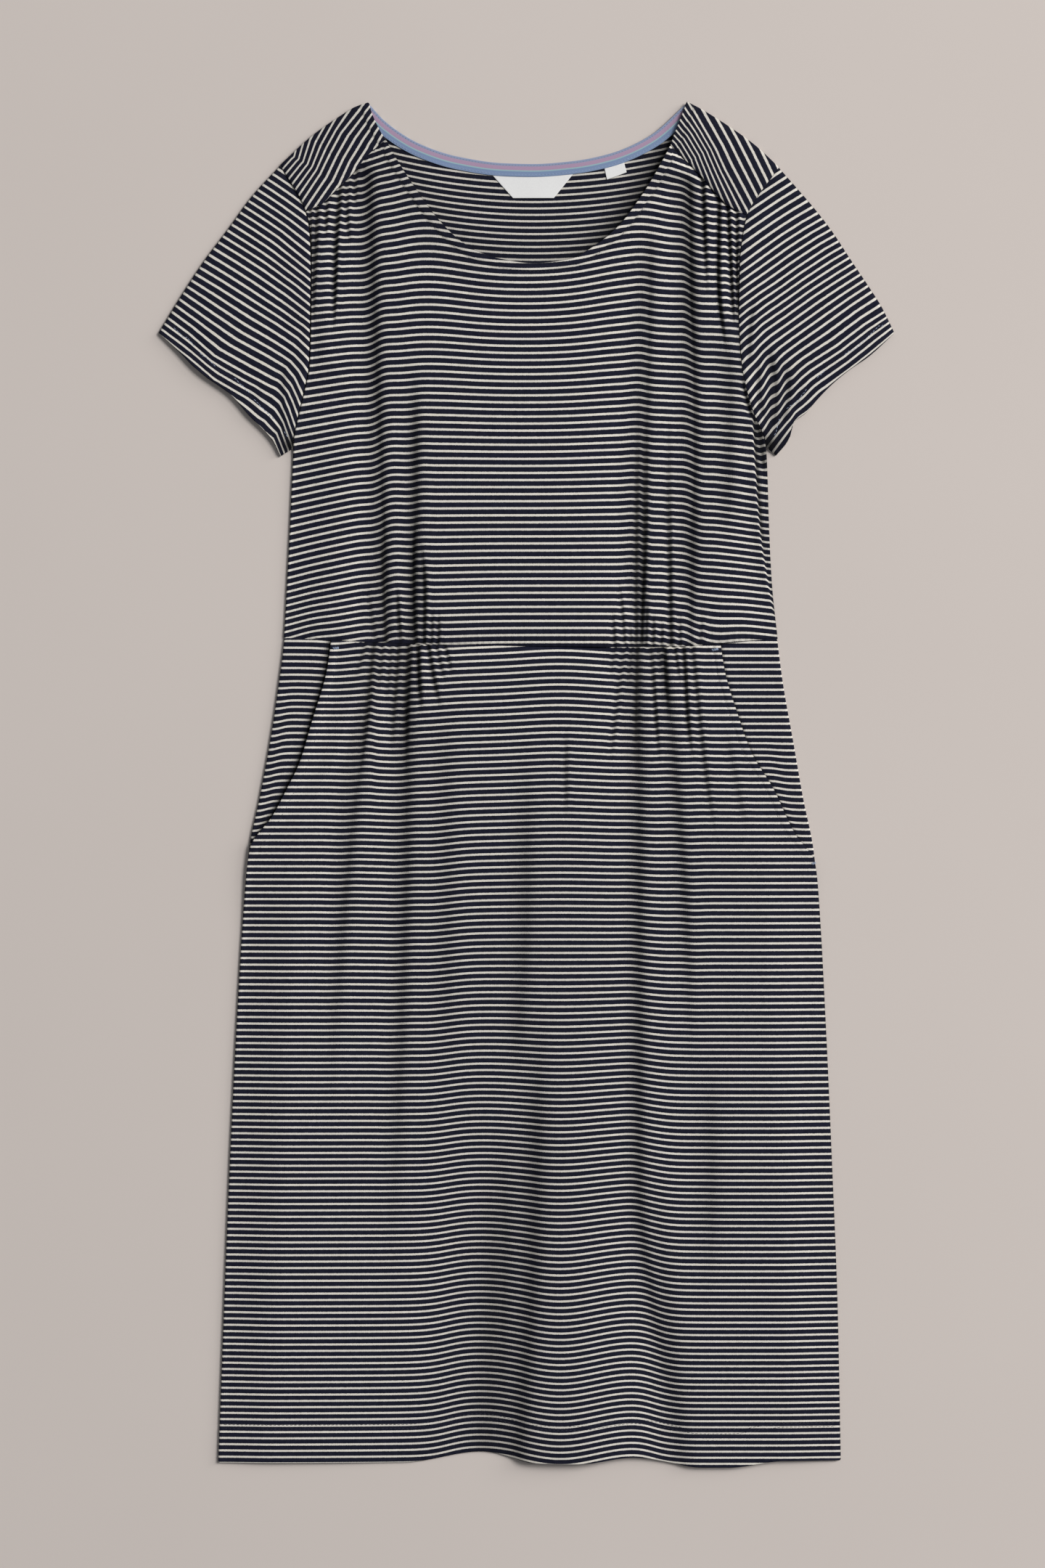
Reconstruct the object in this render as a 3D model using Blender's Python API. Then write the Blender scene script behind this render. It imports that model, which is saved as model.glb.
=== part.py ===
"""Short-sleeved jersey dress, laid flat with its front up.

The dress lies in the XY plane with its underside at Z = 0: +Y runs to the neck,
+X to the right as one looks down on the front, and Z is the height above the
surface. Back panels lie flat, and the front panels lie on them with soft folds.
The tables and working lengths are in millimetres and are scaled to metres once,
where each mesh is made. Left and right are as seen from above.
"""
from collections import namedtuple

import bpy
import numpy as np

MM = 0.001

# Walls and clearances
CLOTH = 1.2
TRIM = 1.0
GAP = 0.3

# Heights of the layers above the surface
BACK_TOP = CLOTH
ON_BACK = BACK_TOP + GAP
HIP_TOP = ON_BACK + CLOTH
FRONT_LOWEST = HIP_TOP
EDGE_HEIGHT = 3.0
ARMHOLE_HEIGHT = 4.4
POCKET_HEIGHT = 4.6
MIDDLE_HEIGHT = 6.0
SEAM_HEIGHT = 4.4
NECK_END_HEIGHT = ON_BACK + TRIM + GAP + CLOTH

# Lengths over which the front rises from its edges
SIDE_RISE = 24.0
SEAM_RISE = 14.0

# Half the greatest width, across the sleeves
HALF_WIDTH = 285.6

# The back stops this far short of the front's hem, and the hip panels of the side outline
BACK_HEM_INSET = 0.8
HIP_SIDE_INSET = 0.4
# How far a hip panel runs in under the pocket's edge, and down below the pocket's end
HIP_TUCK = 12.0
HIP_FOOT = 9.0
HIP_HEAD_Y = 112.5

# Sleeves: the tube's crown, how sharply it rises from the folds, and its least height
SLEEVE_CROWN = 2.4
SLEEVE_CROWN_POWER = 0.7
SLEEVE_ARMHOLE_SHARE = 0.3
SLEEVE_ARMHOLE_REACH = 0.25
SLEEVE_LEAST = 2 * CLOTH + 0.4

# Yokes: the crown between seam and shoulder, and the fall at the shoulder
YOKE_CROWN = 0.9
YOKE_SHOULDER_FALL = 1.5
# The yoke's neck end stands on the tape: full height within the first reach, then falling
NECK_END_REACH = 15.0
NECK_END_FALL = 12.0

# Heights on the dress that several pieces share
SHOULDER_LEFT = 480.4
SHOULDER_RIGHT = 478.8
YOKE_CORNER_LEFT = 444.8
YOKE_CORNER_RIGHT = 441.2
POCKET_END_LEFT = -49.5
POCKET_END_RIGHT = -59.6
WAIST_SIDE_Y = 113.0
UNDERARM_LEFT = (-181.8, 260.6)
UNDERARM_RIGHT = (187.4, 260.6)

# Side outlines, armholes and shoulders: rows of (height y, across x)
LEFT_EDGE = (
    (-527.0, -239.4), (-404.0, -234.8), (-292.0, -230.3), (-179.0, -224.7), (-89.0, -219.1),
    (-49.5, -215.7), (-11.0, -207.8), (34.0, -199.4), (79.0, -192.7), (113.0, -188.5),
    (158.0, -185.9), (203.0, -183.6), (248.0, -181.6), (269.0, -180.4), (285.0, -177.0),
    (302.0, -173.0), (327.0, -168.2), (366.0, -167.3), (405.0, -166.9), (428.0, -167.9),
    (444.8, -171.2), (480.4, -190.8),
)
RIGHT_EDGE = (
    (-527.0, 244.0), (-404.0, 241.5), (-292.0, 237.1), (-179.0, 232.0), (-89.0, 226.9),
    (-49.5, 223.0), (-11.0, 215.2), (34.0, 207.3), (79.0, 199.4), (113.0, 195.0),
    (158.0, 190.4), (203.0, 188.2), (248.0, 186.8), (264.0, 185.6), (288.0, 176.2),
    (308.0, 170.2), (327.0, 166.6), (366.0, 164.4), (405.0, 165.1), (428.0, 167.8),
    (441.2, 170.8), (478.8, 195.4),
)
# Pocket mouths: rows of (height y, across x)
LEFT_POCKET = (
    (-49.5, -214.6), (-23.6, -196.6), (-2.2, -185.3), (16.3, -176.3), (49.5, -166.2),
    (88.3, -155.0), (111.9, -151.6),
)
RIGHT_POCKET = (
    (-59.6, 223.6), (-38.2, 208.4), (-2.2, 191.0), (23.6, 175.2), (54.0, 164.0),
    (88.3, 153.8), (109.5, 150.5),
)
# Cross seams and edges: rows of (across x, height y)
HEM = (
    (-241.0, -525.9), (-96.0, -525.9), (-35.0, -517.4), (8.0, -525.4), (41.0, -525.9),
    (82.0, -521.4), (137.0, -529.3), (157.0, -529.3), (201.0, -524.2), (246.0, -524.2),
)
WAIST = (
    (-190.0, 113.6), (-152.0, 111.9), (-115.0, 110.2), (-58.0, 108.4), (71.0, 106.9),
    (120.0, 107.4), (150.0, 109.4), (175.0, 111.8), (197.0, 112.6),
)
BACK_WAIST = ((-190.0, 113.6), (197.0, 112.6))
LEFT_YOKE_SEAM = (
    (-171.2, 444.8), (-160.0, 449.6), (-147.0, 462.0), (-132.5, 476.2), (-123.5, 487.0),
    (-109.4, 499.8),
)
FRONT_NECK = (
    (-109.4, 499.8), (-100.4, 483.8), (-90.0, 467.4), (-78.5, 450.8), (-67.8, 437.1),
    (-53.2, 422.7), (-37.6, 412.9), (-20.0, 407.2), (5.3, 403.9), (32.6, 407.2),
    (55.4, 419.6), (72.3, 434.2), (86.9, 453.4), (101.8, 477.0), (111.7, 495.6),
)
RIGHT_YOKE_SEAM = (
    (111.7, 495.6), (119.5, 487.1), (128.5, 479.0), (137.0, 470.2), (146.0, 459.6),
    (156.7, 448.9), (170.8, 441.2),
)
LEFT_SHOULDER = (
    (-190.8, 480.4), (-165.7, 503.3), (-144.3, 518.3), (-132.6, 525.2), (-122.3, 528.8),
)
BACK_NECK = (
    (-122.3, 528.8), (-107.9, 513.8), (-81.8, 497.3), (-52.6, 487.7), (-17.7, 482.7),
    (5.3, 482.1), (35.7, 484.3), (63.8, 489.9), (94.8, 503.6), (124.2, 529.3),
)
RIGHT_SHOULDER = (
    (124.2, 529.3), (137.3, 522.4), (156.9, 510.2), (176.9, 495.8), (195.4, 478.8),
)
# Short stretches of neckline at the inner end of each yoke: rows of (across x, height y)
LEFT_YOKE_NECK = ((-109.4, 499.8), (-115.0, 509.1), (-120.7, 522.6), (-122.3, 528.8))
RIGHT_YOKE_NECK = ((111.7, 495.6), (115.0, 505.1), (119.0, 515.2), (124.2, 529.3))
# Sleeves: rows of (across x, height y) down the outer fold and along the cuff
LEFT_SLEEVE_FOLD = (
    (-191.4, 480.4), (-213.1, 456.8), (-231.2, 432.0), (-251.0, 405.6), (-270.8, 375.2),
    (-285.6, 350.4),
)
RIGHT_SLEEVE_FOLD = (
    (196.0, 478.8), (224.4, 446.1), (236.0, 431.2), (252.4, 406.4), (265.7, 386.6),
    (275.6, 371.0), (285.6, 350.4),
)
LEFT_CUFF = (
    (-285.6, 350.4), (-270.8, 336.9), (-254.5, 320.6), (-229.8, 302.6), (-216.3, 287.4),
    (-196.6, 266.1), (-191.0, 254.8),
)
RIGHT_CUFF = (
    (285.6, 350.4), (265.7, 332.2), (252.4, 323.1), (239.2, 312.4), (226.1, 299.2),
    (217.8, 289.2), (207.8, 281.0), (203.3, 267.0), (193.8, 255.4),
)

# A fold is a soft trough with a low ridge on each side. Its line runs through three
# points from its top to its foot. The fades are the lengths over which it dies out
# at each end, and are 0 where it is caught in a seam.
Fold = namedtuple("Fold", "top_x top_y mid_x mid_y low_x low_y depth width fade_top fade_low")

# Two lines with no depth bring a column to each inner end of the yoke seams.
NECK_CORNER_LEFT = Fold(-109.4, 520, -109.4, 480, -109.4, 455, 0.0, 2.0, 0, 30)
NECK_CORNER_RIGHT = Fold(111.7, 520, 111.7, 480, 111.7, 455, 0.0, 2.0, 0, 30)

BODICE_FOLDS = (
    Fold(-165.2, 446, -164.4, 420, -163.6, 390, 1.3, 1.8, 0, 20),
    Fold(-159.4, 450, -160.4, 410, -162.6, 345, 1.7, 2.0, 0, 40),
    Fold(-153.3, 457, -153.7, 445, -153.8, 430, 1.1, 1.9, 0, 16),
    Fold(-146.0, 463, -148.6, 395, -148.4, 345, 1.7, 2.4, 0, 40),
    Fold(-138.4, 471, -139.0, 445, -136.4, 415, 0.9, 2.2, 0, 20),
    Fold(-131.9, 477, -132.4, 462, -132.5, 445, 1.0, 2.0, 0, 14),
    Fold(-124.0, 165, -118.4, 124, -115.6, 109, 0.9, 2.4, 30, 0),
    Fold(-123.4, 482, -114.2, 310, -107.7, 109, 3.0, 5.0, 12, 0),
    NECK_CORNER_LEFT,
    Fold(-100.4, 158, -99.0, 130, -97.0, 109, 0.9, 2.1, 24, 0),
    Fold(-91.0, 140, -91.5, 124, -92.0, 109, 0.8, 1.9, 18, 0),
    Fold(-86.3, 332, -85.2, 230, -86.0, 109, 2.4, 3.4, 80, 0),
    Fold(-81.4, 192, -78.6, 150, -79.0, 109, 1.4, 2.2, 36, 0),
    Fold(-72.5, 140, -73.0, 122, -73.5, 108, 0.8, 1.9, 18, 0),
    Fold(-67.6, 136, -67.8, 120, -68.2, 108, 0.9, 1.9, 16, 0),
    Fold(67.0, 138, 68.0, 120, 68.9, 106, 0.8, 1.9, 18, 0),
    Fold(71.7, 163, 75.0, 130, 76.6, 106, 0.8, 2.1, 30, 0),
    Fold(80.5, 130, 81.0, 118, 81.6, 106, 0.8, 1.8, 14, 0),
    Fold(97.0, 440, 90.8, 265, 86.8, 106, 2.6, 4.2, 60, 0),
    Fold(94.0, 150, 93.5, 130, 92.6, 106, 0.9, 1.9, 22, 0),
    Fold(98.8, 135, 98.7, 120, 98.4, 106, 0.9, 1.9, 16, 0),
    Fold(105.2, 130, 105.1, 118, 104.9, 106, 0.8, 1.9, 14, 0),
    Fold(110.5, 214, 111.7, 158, 112.4, 106, 1.4, 2.6, 60, 0),
    NECK_CORNER_RIGHT,
    Fold(119.0, 135, 119.2, 120, 119.5, 106, 0.9, 1.9, 16, 0),
    Fold(126.2, 476, 129.8, 280, 127.4, 106, 3.2, 5.0, 12, 0),
    Fold(136.4, 136, 135.6, 120, 134.4, 106, 0.8, 1.9, 16, 0),
    Fold(137.3, 470, 138.7, 422, 140.3, 372, 0.9, 2.2, 0, 40),
    Fold(149.8, 456, 149.2, 394, 155.0, 332, 1.8, 2.3, 0, 40),
    Fold(156.6, 450, 157.4, 415, 159.2, 378, 1.0, 1.8, 0, 24),
    Fold(163.6, 446, 162.6, 432, 162.2, 415, 0.9, 1.6, 0, 14),
)
SKIRT_FOLDS = (
    Fold(-124.0, 111, -128.0, 95, -131.5, 78, 1.0, 2.2, 0, 20),
    Fold(-117.5, 111, -138.0, -56, -155.0, -208, 2.2, 4.0, 0, 120),
    Fold(-110.4, 111, -112.4, 90, -115.0, 68, 1.0, 2.1, 0, 24),
    Fold(-104.2, 111, -106.0, 85, -108.4, 58, 1.0, 2.0, 0, 24),
    Fold(-98.2, 111, -102.4, 50, -104.0, 18, 1.5, 2.2, 0, 40),
    Fold(-91.4, 110, -94.6, -123, -112.8, -433, 3.0, 4.2, 0, 200),
    Fold(-83.0, 110, -83.5, 90, -80.8, 52, 2.0, 2.2, 0, 24),
    Fold(-76.2, 110, -70.8, 79, -65.0, 55, 1.0, 2.2, 0, 24),
    Fold(-69.8, 110, -66.0, 92, -61.0, 76, 0.8, 2.0, 0, 16),
    Fold(-63.4, 110, -60.0, 96, -56.5, 82, 0.8, 2.0, 0, 16),
    Fold(0.0, 66, -3.0, -290, -14.3, -530, 3.4, 9.0, 160, 0),
    Fold(31.2, 50, 30.7, 5, 31.2, -30, 0.9, 3.0, 30, 24),
    Fold(70.0, 108, 67.6, 95, 65.4, 80, 0.8, 2.0, 0, 16),
    Fold(76.8, 108, 70.6, 62, 64.4, 12, 1.2, 2.4, 0, 36),
    Fold(82.6, 108, 80.6, 90, 79.0, 70, 0.9, 2.0, 0, 20),
    Fold(89.0, 108, 85.6, -110, 119.0, -530, 3.0, 4.8, 0, 0),
    Fold(97.4, 108, 99.0, 62, 102.1, 12, 1.2, 2.2, 0, 40),
    Fold(102.6, 108, 104.0, 96, 105.4, 84, 0.8, 1.9, 0, 12),
    Fold(107.7, 108, 120.0, -40, 126.3, -236, 2.6, 4.4, 0, 140),
    Fold(115.0, 108, 117.4, 92, 119.6, 74, 0.9, 2.0, 0, 20),
    Fold(122.2, 108, 125.7, 46, 129.2, 15, 1.4, 2.2, 0, 36),
    Fold(128.6, 109, 138.8, 12, 147.7, -50, 1.2, 3.0, 0, 60),
    Fold(154.4, 46, 164.7, -8, 171.3, -40, 1.0, 4.0, 24, 24),
)
LEFT_SLEEVE_FOLDS = (
    Fold(-186.0, 335, -189.0, 303, -188.5, 266, 1.2, 3.6, 24, 16),
    Fold(-205.0, 318, -208.5, 300, -210.5, 284, 0.8, 4.5, 16, 12),
)
RIGHT_SLEEVE_FOLDS = (
    Fold(176.0, 372, 173.5, 350, 172.6, 326, 0.9, 2.6, 14, 14),
    Fold(189.5, 332, 193.5, 306, 192.0, 276, 1.6, 3.0, 16, 14),
    Fold(207.5, 320, 205.0, 300, 202.5, 284, 1.2, 3.0, 14, 10),
)

# Label outlines: rows of (across x, height y)
NECK_LABEL_FOOT = ((-10.4, 455.3), (21.1, 455.3))
NECK_LABEL_TOP = (-28.4, 38.0)
CARE_LABEL_CORNERS = ((62.6, 469.7), (77.4, 475.2), (75.0, 481.2), (60.2, 475.8))
TAPE_WIDTH = 9.4

# Mesh fineness. The armhole's stations are shares of the way from waist to shoulder,
# and the pieces that meet along it all have a row at each.
FREE_COLUMN_PITCH = 11.0
BACK_BODICE_COLUMNS = 33
BACK_SKIRT_COLUMNS = 17
BACK_SKIRT_ROWS = 11
YOKE_COLUMNS = 13
YOKE_ROWS = 7
YOKE_ARMHOLE_POINTS = 5
HIP_ROWS = 9
HIP_COLUMNS = 5
SLEEVE_RINGS = 13
TAPE_POINTS = 37
LABEL_POINTS = 9
ARMHOLE_SHARES = tuple(0.405 + 0.595 * step / 14 for step in range(15))
FRONT_SHARE = 1.11
BODICE_ROWS = (
    (0, 0.02, 0.06, 0.12, 0.22, 0.34)
    + tuple(FRONT_SHARE * share for share in ARMHOLE_SHARES if FRONT_SHARE * share < 0.98)
    + (1,)
)
SKIRT_ROWS = (0, 0.06, 0.2, 0.34, 0.48, 0.61, 0.72, 0.8, 0.86, 0.905, 0.94, 0.965, 0.985, 1)
BACK_ROWS = (0, 0.13, 0.27) + ARMHOLE_SHARES

# Colours of the plain solids
NAVY = (0.016, 0.018, 0.036)
TAPE_BLUE = (0.28, 0.36, 0.56)
LABEL_WHITE = (0.80, 0.80, 0.78)


def clear_scene():
    for item in list(bpy.data.objects):
        bpy.data.objects.remove(item, do_unlink=True)


def smooth(rows, at):
    """Read the curve through the (station, value) rows at the given stations.

    The curve keeps to the rows and doesn't overshoot between them.
    """
    station, value = np.array(rows, dtype=float).T
    step = np.diff(station)
    rise = np.diff(value) / step
    slope = np.zeros(len(station))
    slope[0] = rise[0]
    slope[-1] = rise[-1]
    total = rise[:-1] + rise[1:]
    same_way = rise[:-1] * rise[1:] > 0
    slope[1:-1] = np.where(same_way, 2 * rise[:-1] * rise[1:] / np.where(same_way, total, 1), 0)
    at = np.clip(np.asarray(at, dtype=float), station[0], station[-1])
    i = np.clip(np.searchsorted(station, at, side="right") - 1, 0, len(step) - 1)
    t = (at - station[i]) / step[i]
    start = value[i] * (2 * t**3 - 3 * t**2 + 1) + slope[i] * step[i] * (t**3 - 2 * t**2 + t)
    end = value[i + 1] * (3 * t**2 - 2 * t**3) + slope[i + 1] * step[i] * (t**3 - t**2)
    return start + end


def spaced(rows, count):
    """Points evenly spaced along the smooth curve through (x, y) rows."""
    rows = np.array(rows, dtype=float)
    run = np.concatenate([[0], np.cumsum(np.hypot(*np.diff(rows, axis=0).T))])
    at = np.linspace(0, run[-1], count)
    x = smooth(np.column_stack([run, rows[:, 0]]), at)
    y = smooth(np.column_stack([run, rows[:, 1]]), at)
    return np.column_stack([x, y])


def ramp(value, length):
    """0 at an edge, rising smoothly to 1 at the given distance from it."""
    t = np.clip(value / length, 0, 1)
    return t * t * (3 - 2 * t)


def fold_x(fold, y):
    """Where the fold's trough lies across the dress, at height y on it."""
    rows = ((fold.low_y, fold.low_x), (fold.mid_y, fold.mid_x), (fold.top_y, fold.top_x))
    return smooth(rows, y)


def fold_share(fold, y):
    """How much of its depth the fold has at height y, from 0 to 1."""
    below_top = ramp(fold.top_y - y, fold.fade_top) if fold.fade_top else 1.0
    above_foot = ramp(y - fold.low_y, fold.fade_low) if fold.fade_low else 1.0
    return below_top * above_foot * np.ones_like(y)


def relief(x, y, folds):
    """Height that the folds add at the points (x, y)."""
    height = np.zeros_like(x)
    for fold in folds:
        off = (x - fold_x(fold, y)) / fold.width
        height -= fold.depth * fold_share(fold, y) * (1 - off**2) * np.exp(-off**2 / 2)
    return height


def columns_at(y, left, right, folds, free):
    """Place a row's columns across the panel.

    A column that belongs to a fold lies on it while the fold lasts. The others
    lie midway between their neighbours, so that they spread out evenly.
    """
    count = len(y)
    system = np.zeros((count, count))
    target = np.zeros(count)
    system[0, 0] = 1
    system[-1, -1] = 1
    target[0] = left
    target[-1] = right
    place = 1
    for fold, gap in zip(tuple(folds) + (None,), free):
        for _ in range(gap):
            system[place, place - 1:place + 2] = (-0.5, 1, -0.5)
            place += 1
        if fold is not None:
            held = float(fold_share(fold, y[place:place + 1])[0])
            inside = fold.low_y - 1 <= y[place] <= fold.top_y + 1
            held = min(1.0, 4 * held) if inside else 0.0
            system[place, place - 1:place + 2] = (-0.5 * (1 - held), 1, -0.5 * (1 - held))
            target[place] = held * float(fold_x(fold, y[place:place + 1])[0])
            place += 1
    return np.linalg.solve(system, target)


def free_columns(folds, left, right):
    """How many plain columns stand between neighbouring folds."""
    middles = [left] + [fold.mid_x for fold in folds] + [right]
    return [int(np.clip(round(gap / FREE_COLUMN_PITCH), 1, 7)) for gap in np.diff(middles)]


def front_top_edge(x):
    """Height y of the front bodice's upper edge: yoke seam, neckline, yoke seam."""
    neck = smooth(FRONT_NECK, x)
    left = smooth(LEFT_YOKE_SEAM, x)
    right = smooth(RIGHT_YOKE_SEAM, x)
    return np.where(x < FRONT_NECK[0][0], left, np.where(x > FRONT_NECK[-1][0], right, neck))


def back_top_edge(x):
    """Height y of the back's upper edge: shoulder, neckline, shoulder."""
    neck = smooth(BACK_NECK, x)
    left = smooth(LEFT_SHOULDER, x)
    right = smooth(RIGHT_SHOULDER, x)
    return np.where(x < BACK_NECK[0][0], left, np.where(x > BACK_NECK[-1][0], right, neck))


def grid_between(low, high, rows, count, place_row):
    """Grid of points between a low and a high edge, given a way to place a row."""
    ends = []
    for edge in (low, high):
        x = np.linspace(-HALF_WIDTH, HALF_WIDTH, count)
        for _ in range(16):
            x = 0.5 * x + 0.5 * place_row(edge(x))
        ends.append((x, edge(x)))
    low_y = ends[0][1]
    x, high_y = ends[1]
    grid_y = np.array([low_y + (high_y - low_y) * share for share in rows])
    grid_x = np.array([place_row(y) for y in grid_y])
    grid_x[-1] = x
    return grid_x, grid_y


def folded_grid(low, high, left_edge, right_edge, folds, rows):
    """Grid of points over a panel, with its columns along the folds."""
    free = free_columns(folds, left_edge[-1][1], right_edge[-1][1])

    def place_row(y):
        left = float(smooth(left_edge, y[0]))
        right = float(smooth(right_edge, y[-1]))
        return columns_at(y, left, right, folds, free)

    return grid_between(low, high, rows, len(folds) + sum(free) + 2, place_row)


def flat_grid(low, high, left_edge, right_edge, rows, columns):
    """Grid of points over a flat panel, with evenly spaced columns."""

    def place_row(y):
        left = float(smooth(left_edge, y[0]))
        right = float(smooth(right_edge, y[-1]))
        return np.linspace(left, right, columns)

    return grid_between(low, high, rows, columns, place_row)


def patch(low, high, left, right):
    """Grid of points between four edge curves that meet at their ends."""
    across = np.linspace(0, 1, len(low))[None, :, None]
    up = np.linspace(0, 1, len(left))[:, None, None]
    between_rows = (1 - up) * low[None] + up * high[None]
    between_sides = (1 - across) * left[:, None] + across * right[:, None]
    corners = (
        (1 - up) * (1 - across) * low[0] + (1 - up) * across * low[-1]
        + up * (1 - across) * high[0] + up * across * high[-1]
    )
    points = between_rows + between_sides - corners
    return points[..., 0], points[..., 1]


def drawn_in(x, y, distance):
    """Draw a grid's border in by the given distance, to leave a gap at its seams."""
    x = x.copy()
    y = y.copy()
    for rows, inner in ((0, 1), (-1, -2)):
        for grid_rows, grid_inner in (((rows, slice(None)), (inner, slice(None))),
                                      ((slice(None), rows), (slice(None), inner))):
            dx = x[grid_inner] - x[grid_rows]
            dy = y[grid_inner] - y[grid_rows]
            size = np.maximum(np.hypot(dx, dy), 1e-6)
            x[grid_rows] += dx / size * distance
            y[grid_rows] += dy / size * distance
    return x, y


def finish_mesh(name, points, faces, colour):
    """Make the named object from points in millimetres."""
    mesh = bpy.data.meshes.new(name)
    mesh.from_pydata([tuple(point * MM) for point in points], [], faces)
    mesh.update()
    mesh.shade_smooth()
    mesh.set_sharp_from_angle(angle=np.radians(50))
    material = bpy.data.materials.new(name)
    material.use_nodes = True
    shader = material.node_tree.nodes["Principled BSDF"]
    shader.inputs["Base Color"].default_value = (*colour, 1)
    shader.inputs["Roughness"].default_value = 0.85
    shader.inputs["Metallic"].default_value = 0
    mesh.materials.append(material)
    item = bpy.data.objects.new(name, mesh)
    bpy.context.scene.collection.objects.link(item)
    return item


def slab(name, x, y, top, under, colour=NAVY):
    """Closed wall over a grid of points, between a top and an underside."""
    rows, columns = x.shape
    upper = np.stack([x, y, top], axis=-1).reshape(-1, 3)
    lower = np.stack([x, y, under], axis=-1).reshape(-1, 3)
    index = np.arange(rows * columns).reshape(rows, columns)
    below = rows * columns
    faces = []
    for r in range(rows - 1):
        for c in range(columns - 1):
            a, b = index[r, c], index[r, c + 1]
            d, e = index[r + 1, c], index[r + 1, c + 1]
            faces += [(a, b, e), (a, e, d)]
            faces += [(a + below, e + below, b + below), (a + below, d + below, e + below)]
    rim = list(index[0]) + list(index[1:, -1]) + list(index[-1, -2::-1]) + list(index[-2:0:-1, 0])
    for here, after in zip(rim, rim[1:] + rim[:1]):
        faces += [(after, here, here + below), (after, here + below, after + below)]
    faces = [tuple(int(i) for i in face) for face in faces]
    return finish_mesh(name, np.concatenate([upper, lower]), faces, colour)


def front_bodice_top(x, y):
    """Height of the front bodice's outer face."""
    from_side = np.minimum(x - smooth(LEFT_EDGE, y), smooth(RIGHT_EDGE, y) - x)
    edge = EDGE_HEIGHT + (ARMHOLE_HEIGHT - EDGE_HEIGHT) * ramp(y - 240, 60)
    from_waist = y - smooth(WAIST, x)
    from_ends = ramp(from_waist, SEAM_RISE) * ramp(front_top_edge(x) - y, SEAM_RISE)
    ridge = SEAM_HEIGHT + (MIDDLE_HEIGHT - SEAM_HEIGHT) * from_ends
    side = ramp(from_side, SIDE_RISE)
    height = edge + (ridge - edge) * side + relief(x, y, BODICE_FOLDS)
    return np.maximum(height, FRONT_LOWEST)


def skirt_sides():
    """The front skirt's side outlines: the dress's own, then the pocket mouths."""
    left = tuple(row for row in LEFT_EDGE if row[0] < POCKET_END_LEFT)
    right = tuple(row for row in RIGHT_EDGE if row[0] < POCKET_END_RIGHT)
    return left + LEFT_POCKET, right + RIGHT_POCKET


def front_skirt_top(x, y):
    """Height of the front skirt's outer face."""
    left, right = (smooth(rows, y) for rows in skirt_sides())
    from_side = np.minimum(x - left, right - x)
    edge = EDGE_HEIGHT + (POCKET_HEIGHT - EDGE_HEIGHT) * ramp(y + 130, 40)
    waist = ramp(smooth(WAIST, x) - y, SEAM_RISE)
    hem = ramp(y - smooth(HEM, x), SEAM_RISE)
    ridge = SEAM_HEIGHT + (MIDDLE_HEIGHT - SEAM_HEIGHT) * waist * hem
    ridge = np.maximum(ridge, edge)
    height = edge + (ridge - edge) * ramp(from_side, SIDE_RISE) + relief(x, y, SKIRT_FOLDS)
    over_hip = HIP_TOP + GAP + CLOTH
    least = FRONT_LOWEST + (over_hip - FRONT_LOWEST) * ramp(y + 110, 30) * (from_side < 30)
    return np.maximum(height, least)


def make_front_bodice():
    def low(x):
        return smooth(WAIST, x) + GAP / 2

    x, y = folded_grid(low, front_top_edge, LEFT_EDGE, RIGHT_EDGE, BODICE_FOLDS, BODICE_ROWS)
    top = front_bodice_top(x, y)
    slab("front_bodice", x, y, top, top - CLOTH)


def make_front_skirt():
    def low(x):
        return smooth(HEM, x)

    def high(x):
        return smooth(WAIST, x) - GAP / 2

    left, right = skirt_sides()
    x, y = folded_grid(low, high, left, right, SKIRT_FOLDS, SKIRT_ROWS)
    top = front_skirt_top(x, y)
    slab("front_skirt", x, y, top, top - CLOTH)


def make_back_bodice():
    def low(x):
        return smooth(BACK_WAIST, x) + GAP / 2

    x, y = flat_grid(low, back_top_edge, LEFT_EDGE, RIGHT_EDGE, BACK_ROWS,
                     BACK_BODICE_COLUMNS)
    flat = np.zeros_like(x)
    slab("back_bodice", x, y, flat + BACK_TOP, flat)


def make_back_skirt():
    def low(x):
        return smooth(HEM, x) + BACK_HEM_INSET

    def high(x):
        return smooth(BACK_WAIST, x) - GAP / 2

    rows = np.linspace(0, 1, BACK_SKIRT_ROWS)
    x, y = flat_grid(low, high, LEFT_EDGE, RIGHT_EDGE, rows, BACK_SKIRT_COLUMNS)
    flat = np.zeros_like(x)
    slab("back_skirt", x, y, flat + BACK_TOP, flat)


def make_yoke(name, seam, neck, shoulder, armhole, neck_end):
    """Shoulder yoke, from its front seam up to the fold along the shoulder."""
    seam_x = np.linspace(seam[0][0], seam[-1][0], YOKE_COLUMNS)
    low = np.column_stack([seam_x, smooth(sorted(seam), seam_x)])
    high = spaced(shoulder, YOKE_COLUMNS)
    outer = spaced(armhole, YOKE_ROWS)
    inner = spaced(neck, YOKE_ROWS)
    x, y = patch(low, high, outer, inner)
    if x[0, 0] > x[0, -1]:
        x, y = x[:, ::-1], y[:, ::-1]
    x, y = drawn_in(x, y, GAP)
    from_neck_end = np.hypot(x - neck_end[0], y - neck_end[1])
    on_tape = 1 - ramp(from_neck_end - NECK_END_REACH, NECK_END_FALL)
    lowest = FRONT_LOWEST + (NECK_END_HEIGHT - FRONT_LOWEST) * on_tape
    up = np.linspace(0, 1, x.shape[0])[:, None]
    crown = ARMHOLE_HEIGHT + YOKE_CROWN * np.sin(np.pi * np.clip(up * 0.9, 0, 1))
    crown -= YOKE_SHOULDER_FALL * up**3
    top = np.maximum(crown * np.ones_like(x), lowest)
    slab(name, x, y, top, top - CLOTH)


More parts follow.
